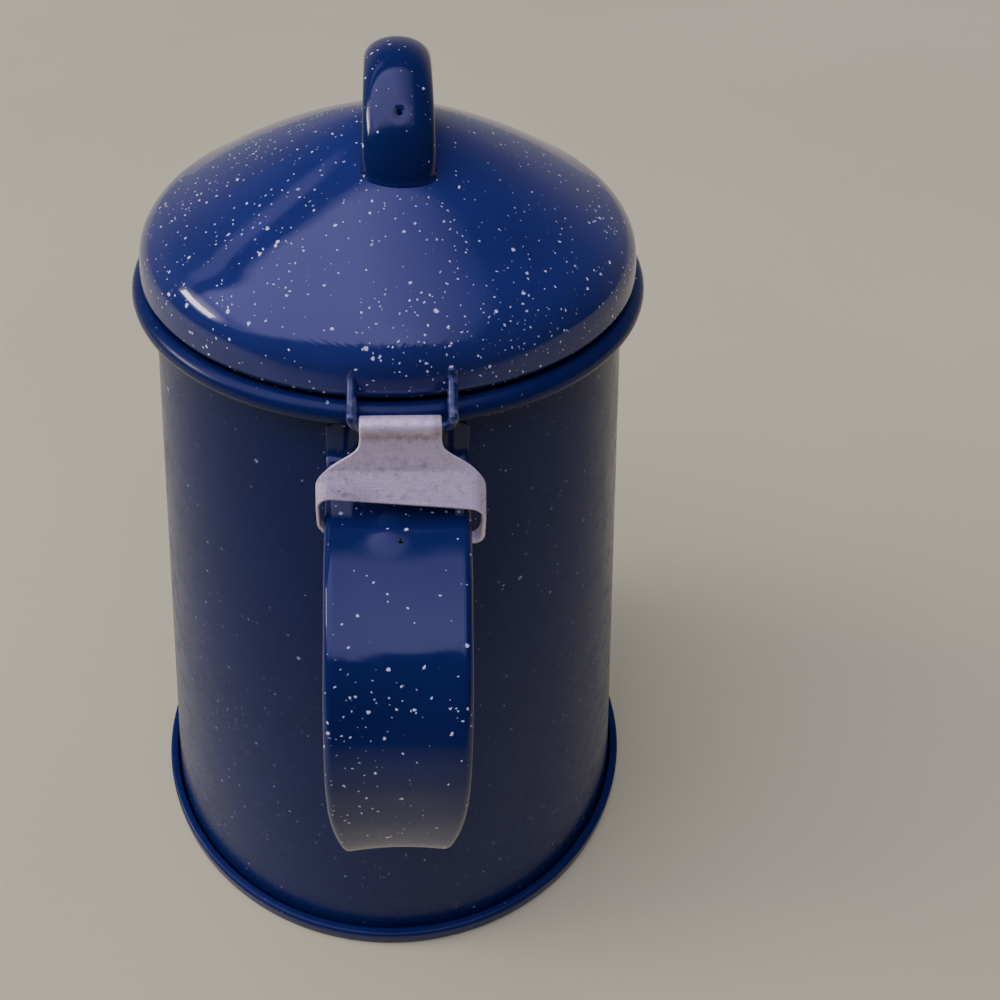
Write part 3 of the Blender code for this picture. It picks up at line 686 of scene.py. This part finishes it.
class POT_OT_finishes(bpy.types.Operator):
    """Make the enamel groups and the material of each piece"""
    bl_idname = "coffee_pot.finishes"
    bl_label = "Finishes"

    def execute(self, context):
        finish = context.scene.pot_finish
        make_speck_group()
        make_glaze_group()
        for name, amount, gloss in (("speckled_body", 0.42, 0.24), ("speckled_base", 0.20, 0.22),
                                    ("speckled_spout", 0.42, 0.20)):
            enamel(name, finish.body_blue, finish.speck_faint, amount, gloss, fineness=0.9,
                   shine=0.2)
        white = finish.speck_white
        enamel("speckled_handle", finish.handle_blue, white, amount=1.35, gloss=0.06,
               fineness=0.92, shine=0.36, thin_edges=True, ripple=0.75)
        enamel("speckled_lid", finish.lid_blue, white, amount=1.7, gloss=0.05)
        enamel("speckled_knob", finish.handle_blue, white, amount=1.0, gloss=0.07, shine=0.4,
               thin_edges=True)
        enamel("speckled_wire", finish.handle_blue, white, amount=0.30, gloss=0.26, rubbed=0.45)
        bare_steel("galvanised_clip")
        return {"FINISHED"}


class POT_OT_body(bpy.types.Operator):
    """Build the tapered body with its rolled rim and strainer holes, and the folded base"""
    bl_idname = "coffee_pot.body"
    bl_label = "Body and base"

    def execute(self, context):
        size = context.scene.pot_body
        self.body(size)
        self.base(size)
        return {"FINISHED"}

    def body(self, size):
        """Closed profile carried round the axis: the roll, a fillet, the outer wall down, a
        straight step across the lower edge, the inner wall up and a flare into the roll."""
        centre = (size.rim_radius - size.bead_radius, size.bead_height)
        roll = arc(centre, size.bead_radius, math.pi, -math.pi / 2 - math.pi / 7, 44)
        low = size.sheet + size.seam_gap
        under = size.bead_height - size.bead_radius
        corner = (wall_radius(under - size.fillet), under - size.fillet)
        knee = (wall_radius(under) + size.fillet / 6, under - size.fillet / 6)
        t = np.linspace(0, 1, 10)[1:, None]
        fillet = ((1 - t) ** 2 * roll[-1] + 2 * t * (1 - t) * np.array(knee)
                  + t ** 2 * np.array(corner))
        heights = np.linspace(corner[1], low, 60)[1:]
        outer = columns(wall_radius(heights), heights)
        inner = columns(wall_radius(heights) - size.sheet, heights)[::-1]
        top = np.array([(wall_radius(under) - size.sheet, under)])
        flare = smooth_line(np.vstack([inner[-1], top, roll[0]]), 8)[1:-1]
        profile = np.vstack([roll, fillet, outer, inner, flare])
        piece = grid_piece("enamelled_body", turned(profile, 256), True, True)
        places = []
        for row in range(size.hole_rows):
            holes = size.hole_rows - abs(row - size.hole_rows // 2)
            step = (row - (size.hole_rows - 1) / 2) * size.hole_pitch
            height = size.hole_middle + step * math.sqrt(0.75)
            for column in range(holes):
                side = (column - (holes - 1) / 2) * size.hole_pitch
                spot = Matrix.Translation((side, float(wall_radius(height)), height))
                places.append(spot @ Matrix.Rotation(math.pi / 2, 4, "X"))
        drilled(piece, places, size.hole_radius, 10 * size.sheet)
        dressed(piece, "body_shell", "pot", "speckled_body")

    def base(self, size):
        """Profile from the middle of the bottom out to the folded seam and back, carried round
        the axis. The seam's radius strays by a slow wave: cos 3a + 0.6 cos(7a + 1)."""
        outer, edge = size.foot_radius, size.seam_round
        inside = size.foot_radius - size.seam_width
        profile = np.vstack([
            even_steps([(0, size.sheet), (inside - 2 * size.sheet, size.sheet)], 20),
            even_steps([(wall_radius(size.sheet), size.sheet), (inside, 2 * size.sheet)], 6),
            arc((inside + edge / 2, size.seam_height - edge / 2), edge / 2, math.pi, math.pi / 2,
                8),
            arc((outer - edge, size.seam_height - edge), edge, math.pi / 2, 0, 14),
            arc((outer - edge, edge), edge, 0, -math.pi / 2, 14),
            even_steps([(outer - 3 * edge, 0), (0, 0)], 24),
        ])
        points = turned(profile, 256)
        angle = np.arctan2(points[..., 1], points[..., 0])
        wave = (np.cos(3 * angle) + 0.6 * np.cos(7 * angle + 1)) / 1.6
        stray = size.unevenness * (wave - 1) / 2 * (profile[:, 0] / outer) ** 4 / outer
        points[..., :2] *= 1 + stray[..., None]
        piece = grid_piece("folded_base", points, True, False)
        dressed(piece, "base_pan", "pot", "speckled_base")


class POT_OT_spout(bpy.types.Operator):
    """Build the beak-shaped spout on the wall"""
    bl_idname = "coffee_pot.spout"
    bl_label = "Spout"

    def execute(self, context):
        """Each level is half an ellipse pushed out of the wall: x = half width times sin a,
        y = root plus reach times cos a to the power 1.3. Angles run only where it is outside
        the wall."""
        size = context.scene.pot_spout
        sheet = context.scene.pot_body.sheet
        up = edge_steps(70, size.top - size.bottom, sheet / 2)[:, None]
        side = np.linspace(-1, 1, 65)[None, :]
        table = np.linspace(0, math.pi / 2, 400)[None, :]
        fine, _ = self.surface(size, up, table)
        outside = np.hypot(fine[..., 0], fine[..., 1]) - wall_radius(fine[..., 2]) > -sheet / 2
        last = np.maximum((outside * table).max(axis=1), 0.02)[:, None]
        points, height = self.surface(size, up, last * side)
        shell = thick_sheet(points[:, ::-1], up[:, 0], side[0], sheet)
        piece = grid_piece("beak_spout", shell, False, True)
        dressed(piece, "spout", "pot", "speckled_spout")
        return {"FINISHED"}

    def surface(self, size, up, angle):
        """Points of the beak's outer face and their heights at the wall."""
        height = size.bottom + (size.top - size.bottom) * up
        wall = wall_radius(height)
        half_width = size.half_width * (0.16 + 0.84 * up ** 0.8)
        reach = wall + (size.reach - wall) * (0.02 + 0.98 * up ** 1.35)
        root = wall - size.root_depth
        nose = np.maximum(np.cos(angle), 0)
        x = half_width * np.sin(angle) * (1 + 0.16 * nose)
        y = root + (reach - root) * nose ** 1.3
        z = height + size.lip_rise * up * nose
        return columns(x, y, z), height


class POT_OT_handle(bpy.types.Operator):
    """Build the strap handle with its turned-down edges and its vent hole"""
    bl_idname = "coffee_pot.handle"
    bl_label = "Handle"

    def execute(self, context):
        scene = context.scene
        size, vent, sheet = scene.pot_handle, scene.pot_vent, scene.pot_body.sheet
        path = self.path(size, sheet, 1200)
        travel = path_lengths(path)
        along = edge_steps(260, travel[-1], sheet / 2)
        reach = np.interp(along * travel[-1], travel, path[:, 0])
        height = np.interp(along * travel[-1], travel, path[:, 1])
        points, normals, across = self.strap(size, sheet, along, reach, height, travel[-1])
        middle = points.shape[1] // 2
        row = int(np.searchsorted(along, size.vent_share))
        spot = points[row, middle] + np.array([size.vent_side, 0, 0])
        far = np.linalg.norm(points - spot, axis=-1)
        nearest = np.unravel_index(far.argmin(), points.shape[:2])
        top = spot + np.array([size.swell_side, size.swell_rise, size.swell_rise])
        gone = np.linalg.norm(points - top, axis=-1)
        swell = size.swell_height * falling(gone, size.swell_radius)
        points = points + normals * swell[..., None]
        nearer = np.exp(-edge_distance(points)[1] / 0.0009)
        shell = thick_sheet(points[::-1], along, across, sheet)
        marks = {"edge": sheet_mark(nearer[::-1])}
        piece = grid_piece("strap_handle", shell, False, True, marks)
        axis = Vector(normals[nearest]).to_track_quat("Z", "Y").to_matrix().to_4x4()
        drilled(piece, [Matrix.Translation(Vector(spot)) @ axis], vent.radius, 4 * sheet)
        dressed(piece, "handle_strap", "pot", "speckled_handle")
        return {"FINISHED"}

    @staticmethod
    def path(size, sheet, count):
        """Outer face of the strap as reach and height: a smooth line through the upper tab on
        the wall, the table of shares and the lower tab, kept off the wall by the sheet."""
        off = size.stand_off + sheet
        start = wall_radius(size.top) + off
        upper = np.linspace(size.top, size.upper_bend, 3)
        lower = np.linspace(size.lower_bend, size.foot, 3)
        shares = np.asarray(HANDLE_SHARES)
        bow = np.stack([start + (size.reach - start) * shares[:, 0],
                        size.foot + (size.top - size.foot) * shares[:, 1]], axis=-1)
        tabs = [columns(wall_radius(run) + off, run) for run in (upper, lower)]
        path = smooth_line(np.vstack([tabs[0], bow, tabs[1]]), count)
        path[:, 0] = np.maximum(path[:, 0], wall_radius(path[:, 1]) + off)
        return path

    @staticmethod
    def strap(size, sheet, along, reach, height, total):
        """Points of the outer face. Across the strap the section is a shallow dish, a quarter
        circle down and a short drop, as functions of the length from its middle. On the wall
        the drop flattens and the section follows the wall's circle instead."""
        slope = unit(columns(np.gradient(reach, along), np.gradient(height, along)))
        outward = columns(-slope[:, 1], slope[:, 0])[:, None]
        place = along[:, None]
        gap = reach - wall_radius(height) - size.stand_off - sheet
        free = np.clip(gap / (size.edge_depth + size.edge_round), 0, 1)
        free = (free * free * (3 - 2 * free))[:, None]
        shares = np.asarray(HANDLE_WIDTH_SHARES)
        width = size.width * np.interp(along, shares[:, 0], shares[:, 1])
        width = np.convolve(np.pad(width, 10, "edge"), np.ones(21) / 21, "valid")[:, None]
        to_end = np.minimum(along, 1 - along)[:, None] * total
        near = np.clip(1 - to_end / size.corner, 0, 1)
        width = width - 2 * size.corner * (1 - np.sqrt(1 - near ** 2)) * 0.999
        flat = width / 2 - size.edge_round
        bend = size.edge_round * math.pi / 2
        drop = size.edge_depth - size.edge_round
        across = 2 * edge_steps(72, size.width / 2 + bend, sheet / 2) - 1
        run = np.abs(across)[None, :] * (flat + bend + drop)
        turn = np.clip((run - flat) / size.edge_round, 0, math.pi / 2)
        side = np.minimum(run, flat) + size.edge_round * np.sin(turn)
        depth = size.edge_round * (1 - np.cos(turn)) + np.maximum(run - flat - bend, 0)
        dish = size.dish * free * np.minimum(2 * place, 1) * np.minimum(run / flat, 1) ** 2
        depth = depth * np.maximum(free, 0.12) - dish
        x = side * np.sign(across)
        hug = (np.sqrt(reach[:, None] ** 2 - x ** 2) - reach[:, None]) * (1 - free)
        y = -(reach[:, None] - outward[..., 0] * -depth * -1 + hug)
        z = height[:, None] - outward[..., 1] * depth
        points = columns(x + size.shift - size.lean * place, y, z)
        normals = -surface_normals(points, along, across)
        return points, normals, across


class POT_OT_clip(bpy.types.Operator):
    """Build the bare steel clip: knuckle, neck, shoulders, saddle and wings"""
    bl_idname = "coffee_pot.clip"
    bl_label = "Hinge clip"

    def execute(self, context):
        scene = context.scene
        size, hinge = scene.pot_clip, scene.pot_hinge
        rows = self.side(size, hinge)
        reach, height, spread, skew = rows.T[:, :, None]
        travel = path_lengths(rows[:, :2])
        along = travel / travel[-1]
        across = 2 * edge_steps(110, size.width + 2 * size.corner, size.sheet / 2) - 1
        edge = self.strap_edge(scene, reach) - scene.pot_handle.edge_depth
        depth = height - edge + size.clearance
        x, drop, _ = self.section(size, depth, np.abs(across)[None, :], spread)
        x = x * np.sign(across)
        lean = size.skew * skew * x / (size.width / 2)
        y = -reach - lean
        z = height - drop - lean * math.tan(size.slope)
        points = columns(x + size.shift, y, z)
        distance = np.minimum(*edge_distance(points))
        neck_height = hinge.height + size.knuckle_radius * math.sin(size.knuckle_end)
        # Darkening for the steel: painted shade in the crease and under the roll, plus dark spots
        # and a nick.
        dirt = self.dirt(size, neck_height, rows, points)
        shell = thick_sheet(points[::-1], along, across, size.sheet)
        # The rim mark lightens the clip's edges as a painted highlight.
        marks = {"edge": sheet_mark(np.exp(-distance / 0.0003)[::-1]),
                 "dirt": sheet_mark(dirt[::-1])}
        piece = grid_piece("steel_clip", shell, False, True, marks)
        dressed(piece, "hinge_clip", "pot", "galvanised_clip")
        return {"FINISHED"}

    @staticmethod
    def side(size, hinge):
        """Rows as reach, height, spread and skew share: round the knuckle, down the neck, over
        the crease and out along the saddle, with softened corners."""
        turn = np.linspace(size.knuckle_start, size.knuckle_end, 60)
        knuckle = np.stack([hinge.reach + size.knuckle_radius * np.cos(turn),
                            hinge.height + size.knuckle_radius * np.sin(turn),
                            0 * turn, 0 * turn], axis=-1)
        shoulder, saddle = np.asarray(SHOULDER_SHARES), np.asarray(SADDLE_SHARES)
        start_reach, start_height = knuckle[-1, :2]
        neck = np.stack([start_reach + size.neck_run * shoulder[:, 0],
                         start_height - size.neck_fall * shoulder[:, 0],
                         shoulder[:, 1], 0 * shoulder[:, 0]], axis=-1)
        run = size.run * saddle[:, 0]
        out = np.stack([neck[-1, 0] + run, neck[-1, 1] - run * math.tan(size.slope),
                        saddle[:, 1], saddle[:, 0]], axis=-1)
        return softened(np.vstack([knuckle, neck, out]), size.crease_round, 190)

    @staticmethod
    def strap_edge(scene, reach):
        """Height of the handle's outer face at a reach, along its upper run."""
        path = POT_OT_handle.path(scene.pot_handle, scene.pot_body.sheet, 600)
        upper = path[:path[:, 0].argmax()]
        return np.interp(reach, np.maximum.accumulate(upper[:, 0]), upper[:, 1])

    @staticmethod
    def section(size, depth, place, spread):
        """Half of the saddle across the strap as a function of the length from its middle:
        flat, quarter circle down, drop, quarter circle inwards and a straight tuck. Rows above
        the saddle end part of the way along it."""
        flat = size.width / 2 - size.corner
        drop = np.maximum(depth + size.sheet - size.corner - size.curl, 0)
        corner, curl = size.corner * math.pi / 2, size.curl * math.pi / 2
        full = flat + corner + drop + curl + size.tuck
        neck = size.neck_width / 2
        run = place * (neck + (full - neck) * spread)
        turn = np.clip((run - flat) / size.corner, 0, math.pi / 2)
        fall = np.clip(run - flat - corner, 0, drop)
        under = np.clip((run - flat - corner - drop) / size.curl, 0, math.pi / 2)
        tuck = np.maximum(run - flat - corner - drop - curl, 0)
        x = np.minimum(run, flat) + size.corner * np.sin(turn) - tuck
        x = x - size.curl * (1 - np.cos(under))
        z = size.corner * (1 - np.cos(turn)) + fall + size.curl * np.sin(under)
        return x, z, run

    @staticmethod
    def dirt(size, neck_height, rows, points):
        """Share of darkening, each a bell curve of the distance: painted shade along the crease and
        under the roll, darker at the roll's right end, a dark spot near the left of the saddle's
        edge, a nick, and an even darkening over the saddle."""
        crease_height = neck_height - size.neck_fall
        height = rows[:, 1][:, None]
        front = (rows[:, 0] > rows[:, 0].max() - size.run * 1.02)[:, None] + 0 * height
        x = points[..., 0] - size.shift
        y, z = points[..., 1], points[..., 2]
        # Painted shade: along the crease and in a band under the roll.
        crease = 0.30 * falling(z - crease_height, 0.0006) * np.exp(-(x / 0.0062) ** 4)
        neck = 0.34 * falling(z - neck_height, 0.0007)
        end = 0.95 * falling(x - size.neck_width / 2 + 0.0006, 0.0010)
        end = end * (z > neck_height + 0.0008)
        left = 0.95 * falling(x + 0.0100, 0.0050) * falling(y - y.min() - 0.0012, 0.0013)
        nick = falling(x - 0.0042, 0.0006) * falling(z - crease_height - 0.0006, 0.0006)
        return np.clip(crease + neck + end + (left + 0.25) * front + 0.9 * nick, 0, 1)


class POT_OT_lid(bpy.types.Operator):
    """Build the domed lid that turns in under its edge and ends in a skirt"""
    bl_idname = "coffee_pot.lid"
    bl_label = "Lid"

    def execute(self, context):
        """Outer profile from the apex to the skirt's lower edge, offset by the sheet for the
        inner face, both carried round the axis. The two faces meet in a half-round edge."""
        size, body = context.scene.pot_lid, context.scene.pot_body
        outer = self.profile(size, body)
        slope = unit(np.gradient(outer, axis=0))
        normals = columns(-slope[:, 1], slope[:, 0])
        left = path_lengths(outer)
        near = np.clip((left[-1] - left) / (size.sheet / 2), 0, 1)[:, None]
        stand = size.sheet / 2 * np.sqrt(1 - (1 - near) ** 2)
        middle = outer - normals * size.sheet / 2
        inner = (middle - normals * stand)[::-1]
        outer = middle + normals * stand
        outer[0, 0] = inner[-1, 0] = 0
        profile = np.vstack([outer, inner[1:]])
        piece = grid_piece("domed_lid", turned(profile, 256), True, False)
        dressed(piece, "lid_shell", "lid", "speckled_lid")
        return {"FINISHED"}

    @staticmethod
    def profile(size, body):
        """The dome, a round edge, a slope that seats in the roll and an upright skirt."""
        diagonal = math.sqrt(0.5)
        centre = size_pair(body.rim_radius - body.bead_radius, body.bead_height)
        seat = centre + (body.bead_radius + size.seat_gap) * size_pair(-diagonal, diagonal)
        edge = size_pair(size.radius - size.edge_round, 0)
        edge[1] = seat[1] + edge[0] - seat[0] + size.edge_round / diagonal
        skirt = body.wall_top_radius - body.sheet - size.skirt_play
        neck = seat[1] - (seat[0] - skirt) * 1.6
        dome = lid_dome(110)
        turn_in = arc(edge, size.edge_round, 0, -math.pi / 4, 14)
        middle = seat - (seat[0] - skirt) / 2
        low = smooth_line([seat, middle, (skirt, neck), (skirt, neck - size.skirt_depth / 4)], 24)
        tip = edge_tail(skirt, neck - size.skirt_depth / 4, neck - size.skirt_depth, size.sheet / 2)
        joined = np.vstack([dome, turn_in, low, tip])
        keep = np.concatenate([[True], np.linalg.norm(np.diff(joined, axis=0), axis=1) > 1e-6])
        return joined[keep]


def size_pair(radius, height):
    """A place in a profile."""
    return np.array([radius, height], dtype=float)


def edge_tail(radius, start, end, edge):
    """Upright run whose last steps follow a quarter circle, for a half-round edge."""
    quarter = (1 - np.cos(np.linspace(math.pi / 2, 0, 6))) * edge
    heights = np.concatenate([np.linspace(start, end + edge, 14)[1:-1], end + quarter])
    return columns(radius + 0 * heights, heights)


class POT_OT_knob(bpy.types.Operator):
    """Build the arched strap knob on the lid"""
    bl_idname = "coffee_pot.knob"
    bl_label = "Knob"

    def execute(self, context):
        scene = context.scene
        size, vent, sheet = scene.pot_knob, scene.pot_vent, scene.pot_body.sheet
        across = 2 * edge_steps(56, size.top_width * 1.4, sheet / 2) - 1
        table = np.linspace(0, math.pi / 2, 500)[:, None]
        fine = self.arch(size, table, across)
        under = fine[..., 2] < lid_height(np.hypot(fine[..., 0], fine[..., 1])) - sheet / 4
        first = (under * table).max(axis=0)[None, :]
        along = edge_steps(170, 0.06, sheet / 2)
        points = self.arch(size, first + (math.pi - 2 * first) * along[:, None], across)
        normals = surface_normals(points, along, across)
        rise = points[..., 2] - lid_height(np.hypot(points[..., 0], points[..., 1]))
        flare = 0.0003 * np.clip(1 - rise / 0.0009, 0, 1) ** 2
        points = points + normals * flare[..., None]
        angles = first + (math.pi - 2 * first) * along[:, None]
        middle = points.shape[1] // 2
        row = int(np.abs(angles[:, middle] - size.vent_angle).argmin())
        spot = points[row, middle]
        gone = np.linalg.norm(points - spot, axis=-1)
        points = points - normals * (vent.depth * falling(1.6 * gone, vent.dimple))[..., None]
        nearer = np.exp(-edge_distance(points)[1] / 0.0008)
        shell = thick_sheet(points, along, across, sheet)
        piece = grid_piece("strap_knob", shell, False, True, {"edge": sheet_mark(nearer)})
        axis = Vector(normals[row, middle]).to_track_quat("Z", "Y").to_matrix().to_4x4()
        drilled(piece, [Matrix.Translation(Vector(spot)) @ axis], vent.radius, 4 * sheet)
        dressed(piece, "lid_knob", "lid", "speckled_knob")
        return {"FINISHED"}

    @staticmethod
    def arch(size, angle, across):
        """Half an ellipse from foot to foot; across it the section is half an ellipse too,
        x = half width times sin b and depth = edge depth times (1 - cos b)."""
        foot = float(lid_height(size.foot_reach)) - size.overrun
        rise = size.top - foot
        bend = across * math.pi / 2
        width = size.foot_width + (size.top_width - size.foot_width) * np.sin(angle)
        inward = unit(columns(np.cos(angle) * rise, -np.sin(angle) * size.foot_reach))
        depth = size.edge_depth * (1 - np.cos(bend))
        x = size.shift + width / 2 * np.sin(bend)
        y = -size.foot_reach * np.cos(angle) + inward[..., 0] * depth
        z = foot + rise * np.sin(angle) + inward[..., 1] * depth
        return columns(x, y, z)


class POT_OT_wire(bpy.types.Operator):
    """Build the wire staple that hinges the lid"""
    bl_idname = "coffee_pot.wire"
    bl_label = "Hinge wire"

    def execute(self, context):
        """A circle carried along the wire's path, swelling where the legs leave the lid, with
        round tips: radius times the square root of 1 - (1 - d / tip) squared."""
        size = context.scene.pot_hinge
        path = self.path(size)
        travel = path_lengths(path)
        tangent = unit(np.gradient(path, travel, axis=0))
        first = unit(np.cross(tangent, np.array([1.0, 1.0, 0.0])))
        second = np.cross(tangent, first)
        end = np.minimum(travel, travel[-1] - travel)
        radius = size.wire_radius + 0.3 * size.meniscus * np.exp(-(end / size.meniscus) ** 2)
        near = np.clip(end / (1.2 * size.wire_radius), 0, 1)
        radius = radius * np.sqrt(1 - (1 - near) ** 2)
        turn = np.linspace(0, FULL_TURN, 28, endpoint=False)[None, :, None]
        ring = np.cos(turn) * first[:, None] + np.sin(turn) * second[:, None]
        points = path[:, None] + radius[:, None, None] * ring
        points[..., 0] += size.shift
        piece = grid_piece("wire_hinge", points, False, True)
        dressed(piece, "hinge_wire", "lid", "speckled_wire")
        return {"FINISHED"}

    @staticmethod
    def path(size):
        """Pin along X, a quarter circle up at each end, and legs that lean in to the lid:
        reach falls as the sine of the turn and height rises as a power of 1 - cosine."""
        half = size.spacing / 2
        dome = lid_dome(240)
        root_radius = np.interp(-(size.height + size.rise), -dome[:, 1], dome[:, 0])
        root_reach = math.sqrt((root_radius - 0.8 * size.wire_radius) ** 2 - half ** 2)
        turn = np.linspace(0, math.pi / 2, 40)
        leg = np.stack([half + 0 * turn, -(size.reach + (root_reach - size.reach) * np.sin(turn)),
                        size.height + size.bend
                        + (size.rise - size.bend) * (1 - np.cos(turn)) ** size.root_share], axis=-1)
        bend = arc((half - size.bend, size.height + size.bend), size.bend, -math.pi / 2, 0, 12)
        bend = columns(bend[:, 0], -size.reach + 0 * bend[:, 0], bend[:, 1])
        side = np.vstack([bend[:-1], leg])
        return smooth_line(even_steps(np.vstack([side[::-1] * (-1, 1, 1), side]), 60), 190)


class POT_OT_studio(bpy.types.Operator):
    """Lay the pale floor and set up the soft lights and the camera"""
    bl_idname = "coffee_pot.studio"
    bl_label = "Floor, lights and camera"

    def execute(self, context):
        size = context.scene.pot_studio
        self.floor(size)
        self.ceiling(context)
        self.window_panel(context, size)
        self.camera(context, size)
        return {"FINISHED"}

    def floor(self, size):
        """Flat grid with a faint mottle in its colour; well in front of the pot it
        falls off to a painted shade.
        """
        reach = np.linspace(-size.floor_radius, size.floor_radius, 5)
        x, y = np.meshgrid(reach, reach)
        floor = grid_piece("floor", columns(x, y, -size.floor_drop))
        material, tree, shader = new_material("floor_paper")
        spot = object_place(tree)
        floor_mottle_and_shade = between(noise(spot, 3.0, 4.0), 0.3, 0.7, 0.94, 1.03)
        # Painted shade: the colour falls to about a tenth well in front of the pot.
        floor_mottle_and_shade = floor_mottle_and_shade * between(parts(spot, "XYZ")[1], -0.74, -0.36, 0.09, 1.0)
        tone = mixed(1.0, opaque(bpy.context.scene.pot_finish.floor), floor_mottle_and_shade, "MULTIPLY")
        tone.to(shader.inputs["Base Color"])
        shader.inputs["Roughness"].default_value = 0.85
        floor.data.materials.append(material)

    def ceiling(self, context):
        """A dim room under a bright roof light. With the lean to the right x / z and to the
        back y / z, the roof light has a crisp back edge, a slow fade to the right, a step down
        on the left and a ragged front edge; a narrow strip lies behind it, a soft window low
        on the left."""
        world = context.scene.world or bpy.data.worlds.new("room")
        context.scene.world = world
        world.use_nodes = True
        tree = world.node_tree
        x, y, z = parts(value(tree, "ShaderNodeTexCoord", output="Generated"), "XYZ")
        height = z.sum("MAXIMUM", 0.05)
        lean, depth = x / height, y / height
        strip = between(depth, 0.58, 0.62) * between(depth, 0.84, 0.74, 0.0, 0.34)
        strip = strip * between(lean, -0.34, -0.50)
        glow = strip.sum("MAXIMUM", between(depth, 0.43, 0.35))
        glow = glow * between(lean + depth * 0.3, 0.56, -0.12)
        glow = glow * between(lean, -1.62, -1.34, 0.55, 1.0) * between(lean, -2.45, -2.10)
        spikes = value(tree, "ShaderNodeCombineXYZ", {"X": lean})
        ragged = between(noise(spikes, 24.0, 3.0, 0.6), 0.34, 0.66, -0.26, 0.22)
        glow = glow * between(depth + ragged, -0.86, -0.80) * between(z, 0.0, 0.35)
        window = between(bell(lean, -2.7, 1.1) + bell(depth, 0.15, 0.75), 1.0, 2.0)
        dim = mixed(between(z, -0.4, 0.9), opaque(ROOM_LOW), opaque(ROOM_HIGH))
        behind = between(y, 0.1, 0.8) * between(z, 0.7, 0.25)
        dim = mixed(behind, dim, opaque(ROOM_BACK))
        window = mixed(window, opaque((0, 0, 0)), opaque(WINDOW_GLOW))
        backdrop = tree.nodes["Background"]
        mixed(1.0, mixed(glow, dim, opaque(ROOF_GLOW)), window, "ADD").to(backdrop.inputs["Color"])
        backdrop.inputs["Strength"].default_value = 1.0

    def window_panel(self, context, size):
        """A rectangular area light on the left that faces the lid."""
        data = bpy.data.lights.new("window_panel", "AREA")
        data.shape = "RECTANGLE"
        data.size, data.size_y = 0.44, 0.12
        data.energy = size.panel_power
        data.color = (1.0, 0.95, 0.88)
        light = bpy.data.objects.new("window_panel", data)
        light.location = size.panel_place
        facing = Vector((0, 0, 0.19)) - Vector(size.panel_place)
        light.rotation_euler = facing.to_track_quat("-Z", "Y").to_euler()
        context.scene.collection.objects.link(light)

    def camera(self, context, size):
        """Camera matrix from the yaw, pitch and roll, its columns being right, up and back."""
        data = bpy.data.cameras.new("camera")
        data.sensor_width = 36.0
        data.lens = size.lens
        data.shift_x = size.frame_shift
        data.clip_start = 0.01
        ahead = Vector((math.sin(size.yaw) * math.cos(size.pitch),
                        math.cos(size.yaw) * math.cos(size.pitch), -math.sin(size.pitch)))
        right = Vector((math.cos(size.yaw), -math.sin(size.yaw), 0))
        up = right.cross(ahead)
        right, up = (math.cos(size.roll) * right + math.sin(size.roll) * up,
                     -math.sin(size.roll) * right + math.cos(size.roll) * up)
        camera = bpy.data.objects.new("camera", data)
        turn = Matrix((right, up, -ahead)).transposed().to_4x4()
        camera.matrix_world = Matrix.Translation(size.place) @ turn
        context.scene.collection.objects.link(camera)
        context.scene.camera = camera


class POT_PT_sidebar(bpy.types.Panel):
    """Buttons that build the pot, piece by piece"""
    bl_idname = "POT_PT_sidebar"
    bl_label = "Coffee Pot"
    bl_space_type = "VIEW_3D"
    bl_region_type = "UI"
    bl_category = "Coffee Pot"

    def draw(self, context):
        for operator in OPERATORS:
            self.layout.operator(operator.bl_idname)


SETTINGS = {
    "pot_body": PotBodySizes, "pot_lid": LidSizes, "pot_knob": KnobSizes,
    "pot_handle": HandleSizes, "pot_vent": VentSizes, "pot_hinge": HingeSizes,
    "pot_clip": ClipSizes, "pot_spout": SpoutSizes, "pot_finish": FinishColours,
    "pot_studio": StudioSettings,
}
OPERATORS = (
    POT_OT_finishes, POT_OT_body, POT_OT_spout, POT_OT_handle, POT_OT_clip, POT_OT_lid,
    POT_OT_knob, POT_OT_wire, POT_OT_studio,
)


def register():
    """Register the settings, the operators and the panel."""
    for kind in (*SETTINGS.values(), *OPERATORS, POT_PT_sidebar):
        bpy.utils.register_class(kind)
    for name, kind in SETTINGS.items():
        setattr(bpy.types.Scene, name, PointerProperty(type=kind))


def unregister():
    """Take everything back that register added."""
    for name in SETTINGS:
        delattr(bpy.types.Scene, name)
    for kind in (POT_PT_sidebar, *OPERATORS[::-1], *reversed(SETTINGS.values())):
        bpy.utils.unregister_class(kind)


def main():
    """Build the pot and the studio."""
    register()
    for operator in OPERATORS:
        getattr(bpy.ops.coffee_pot, operator.bl_idname.split(".")[1])()


if __name__ == "__main__":
    main()
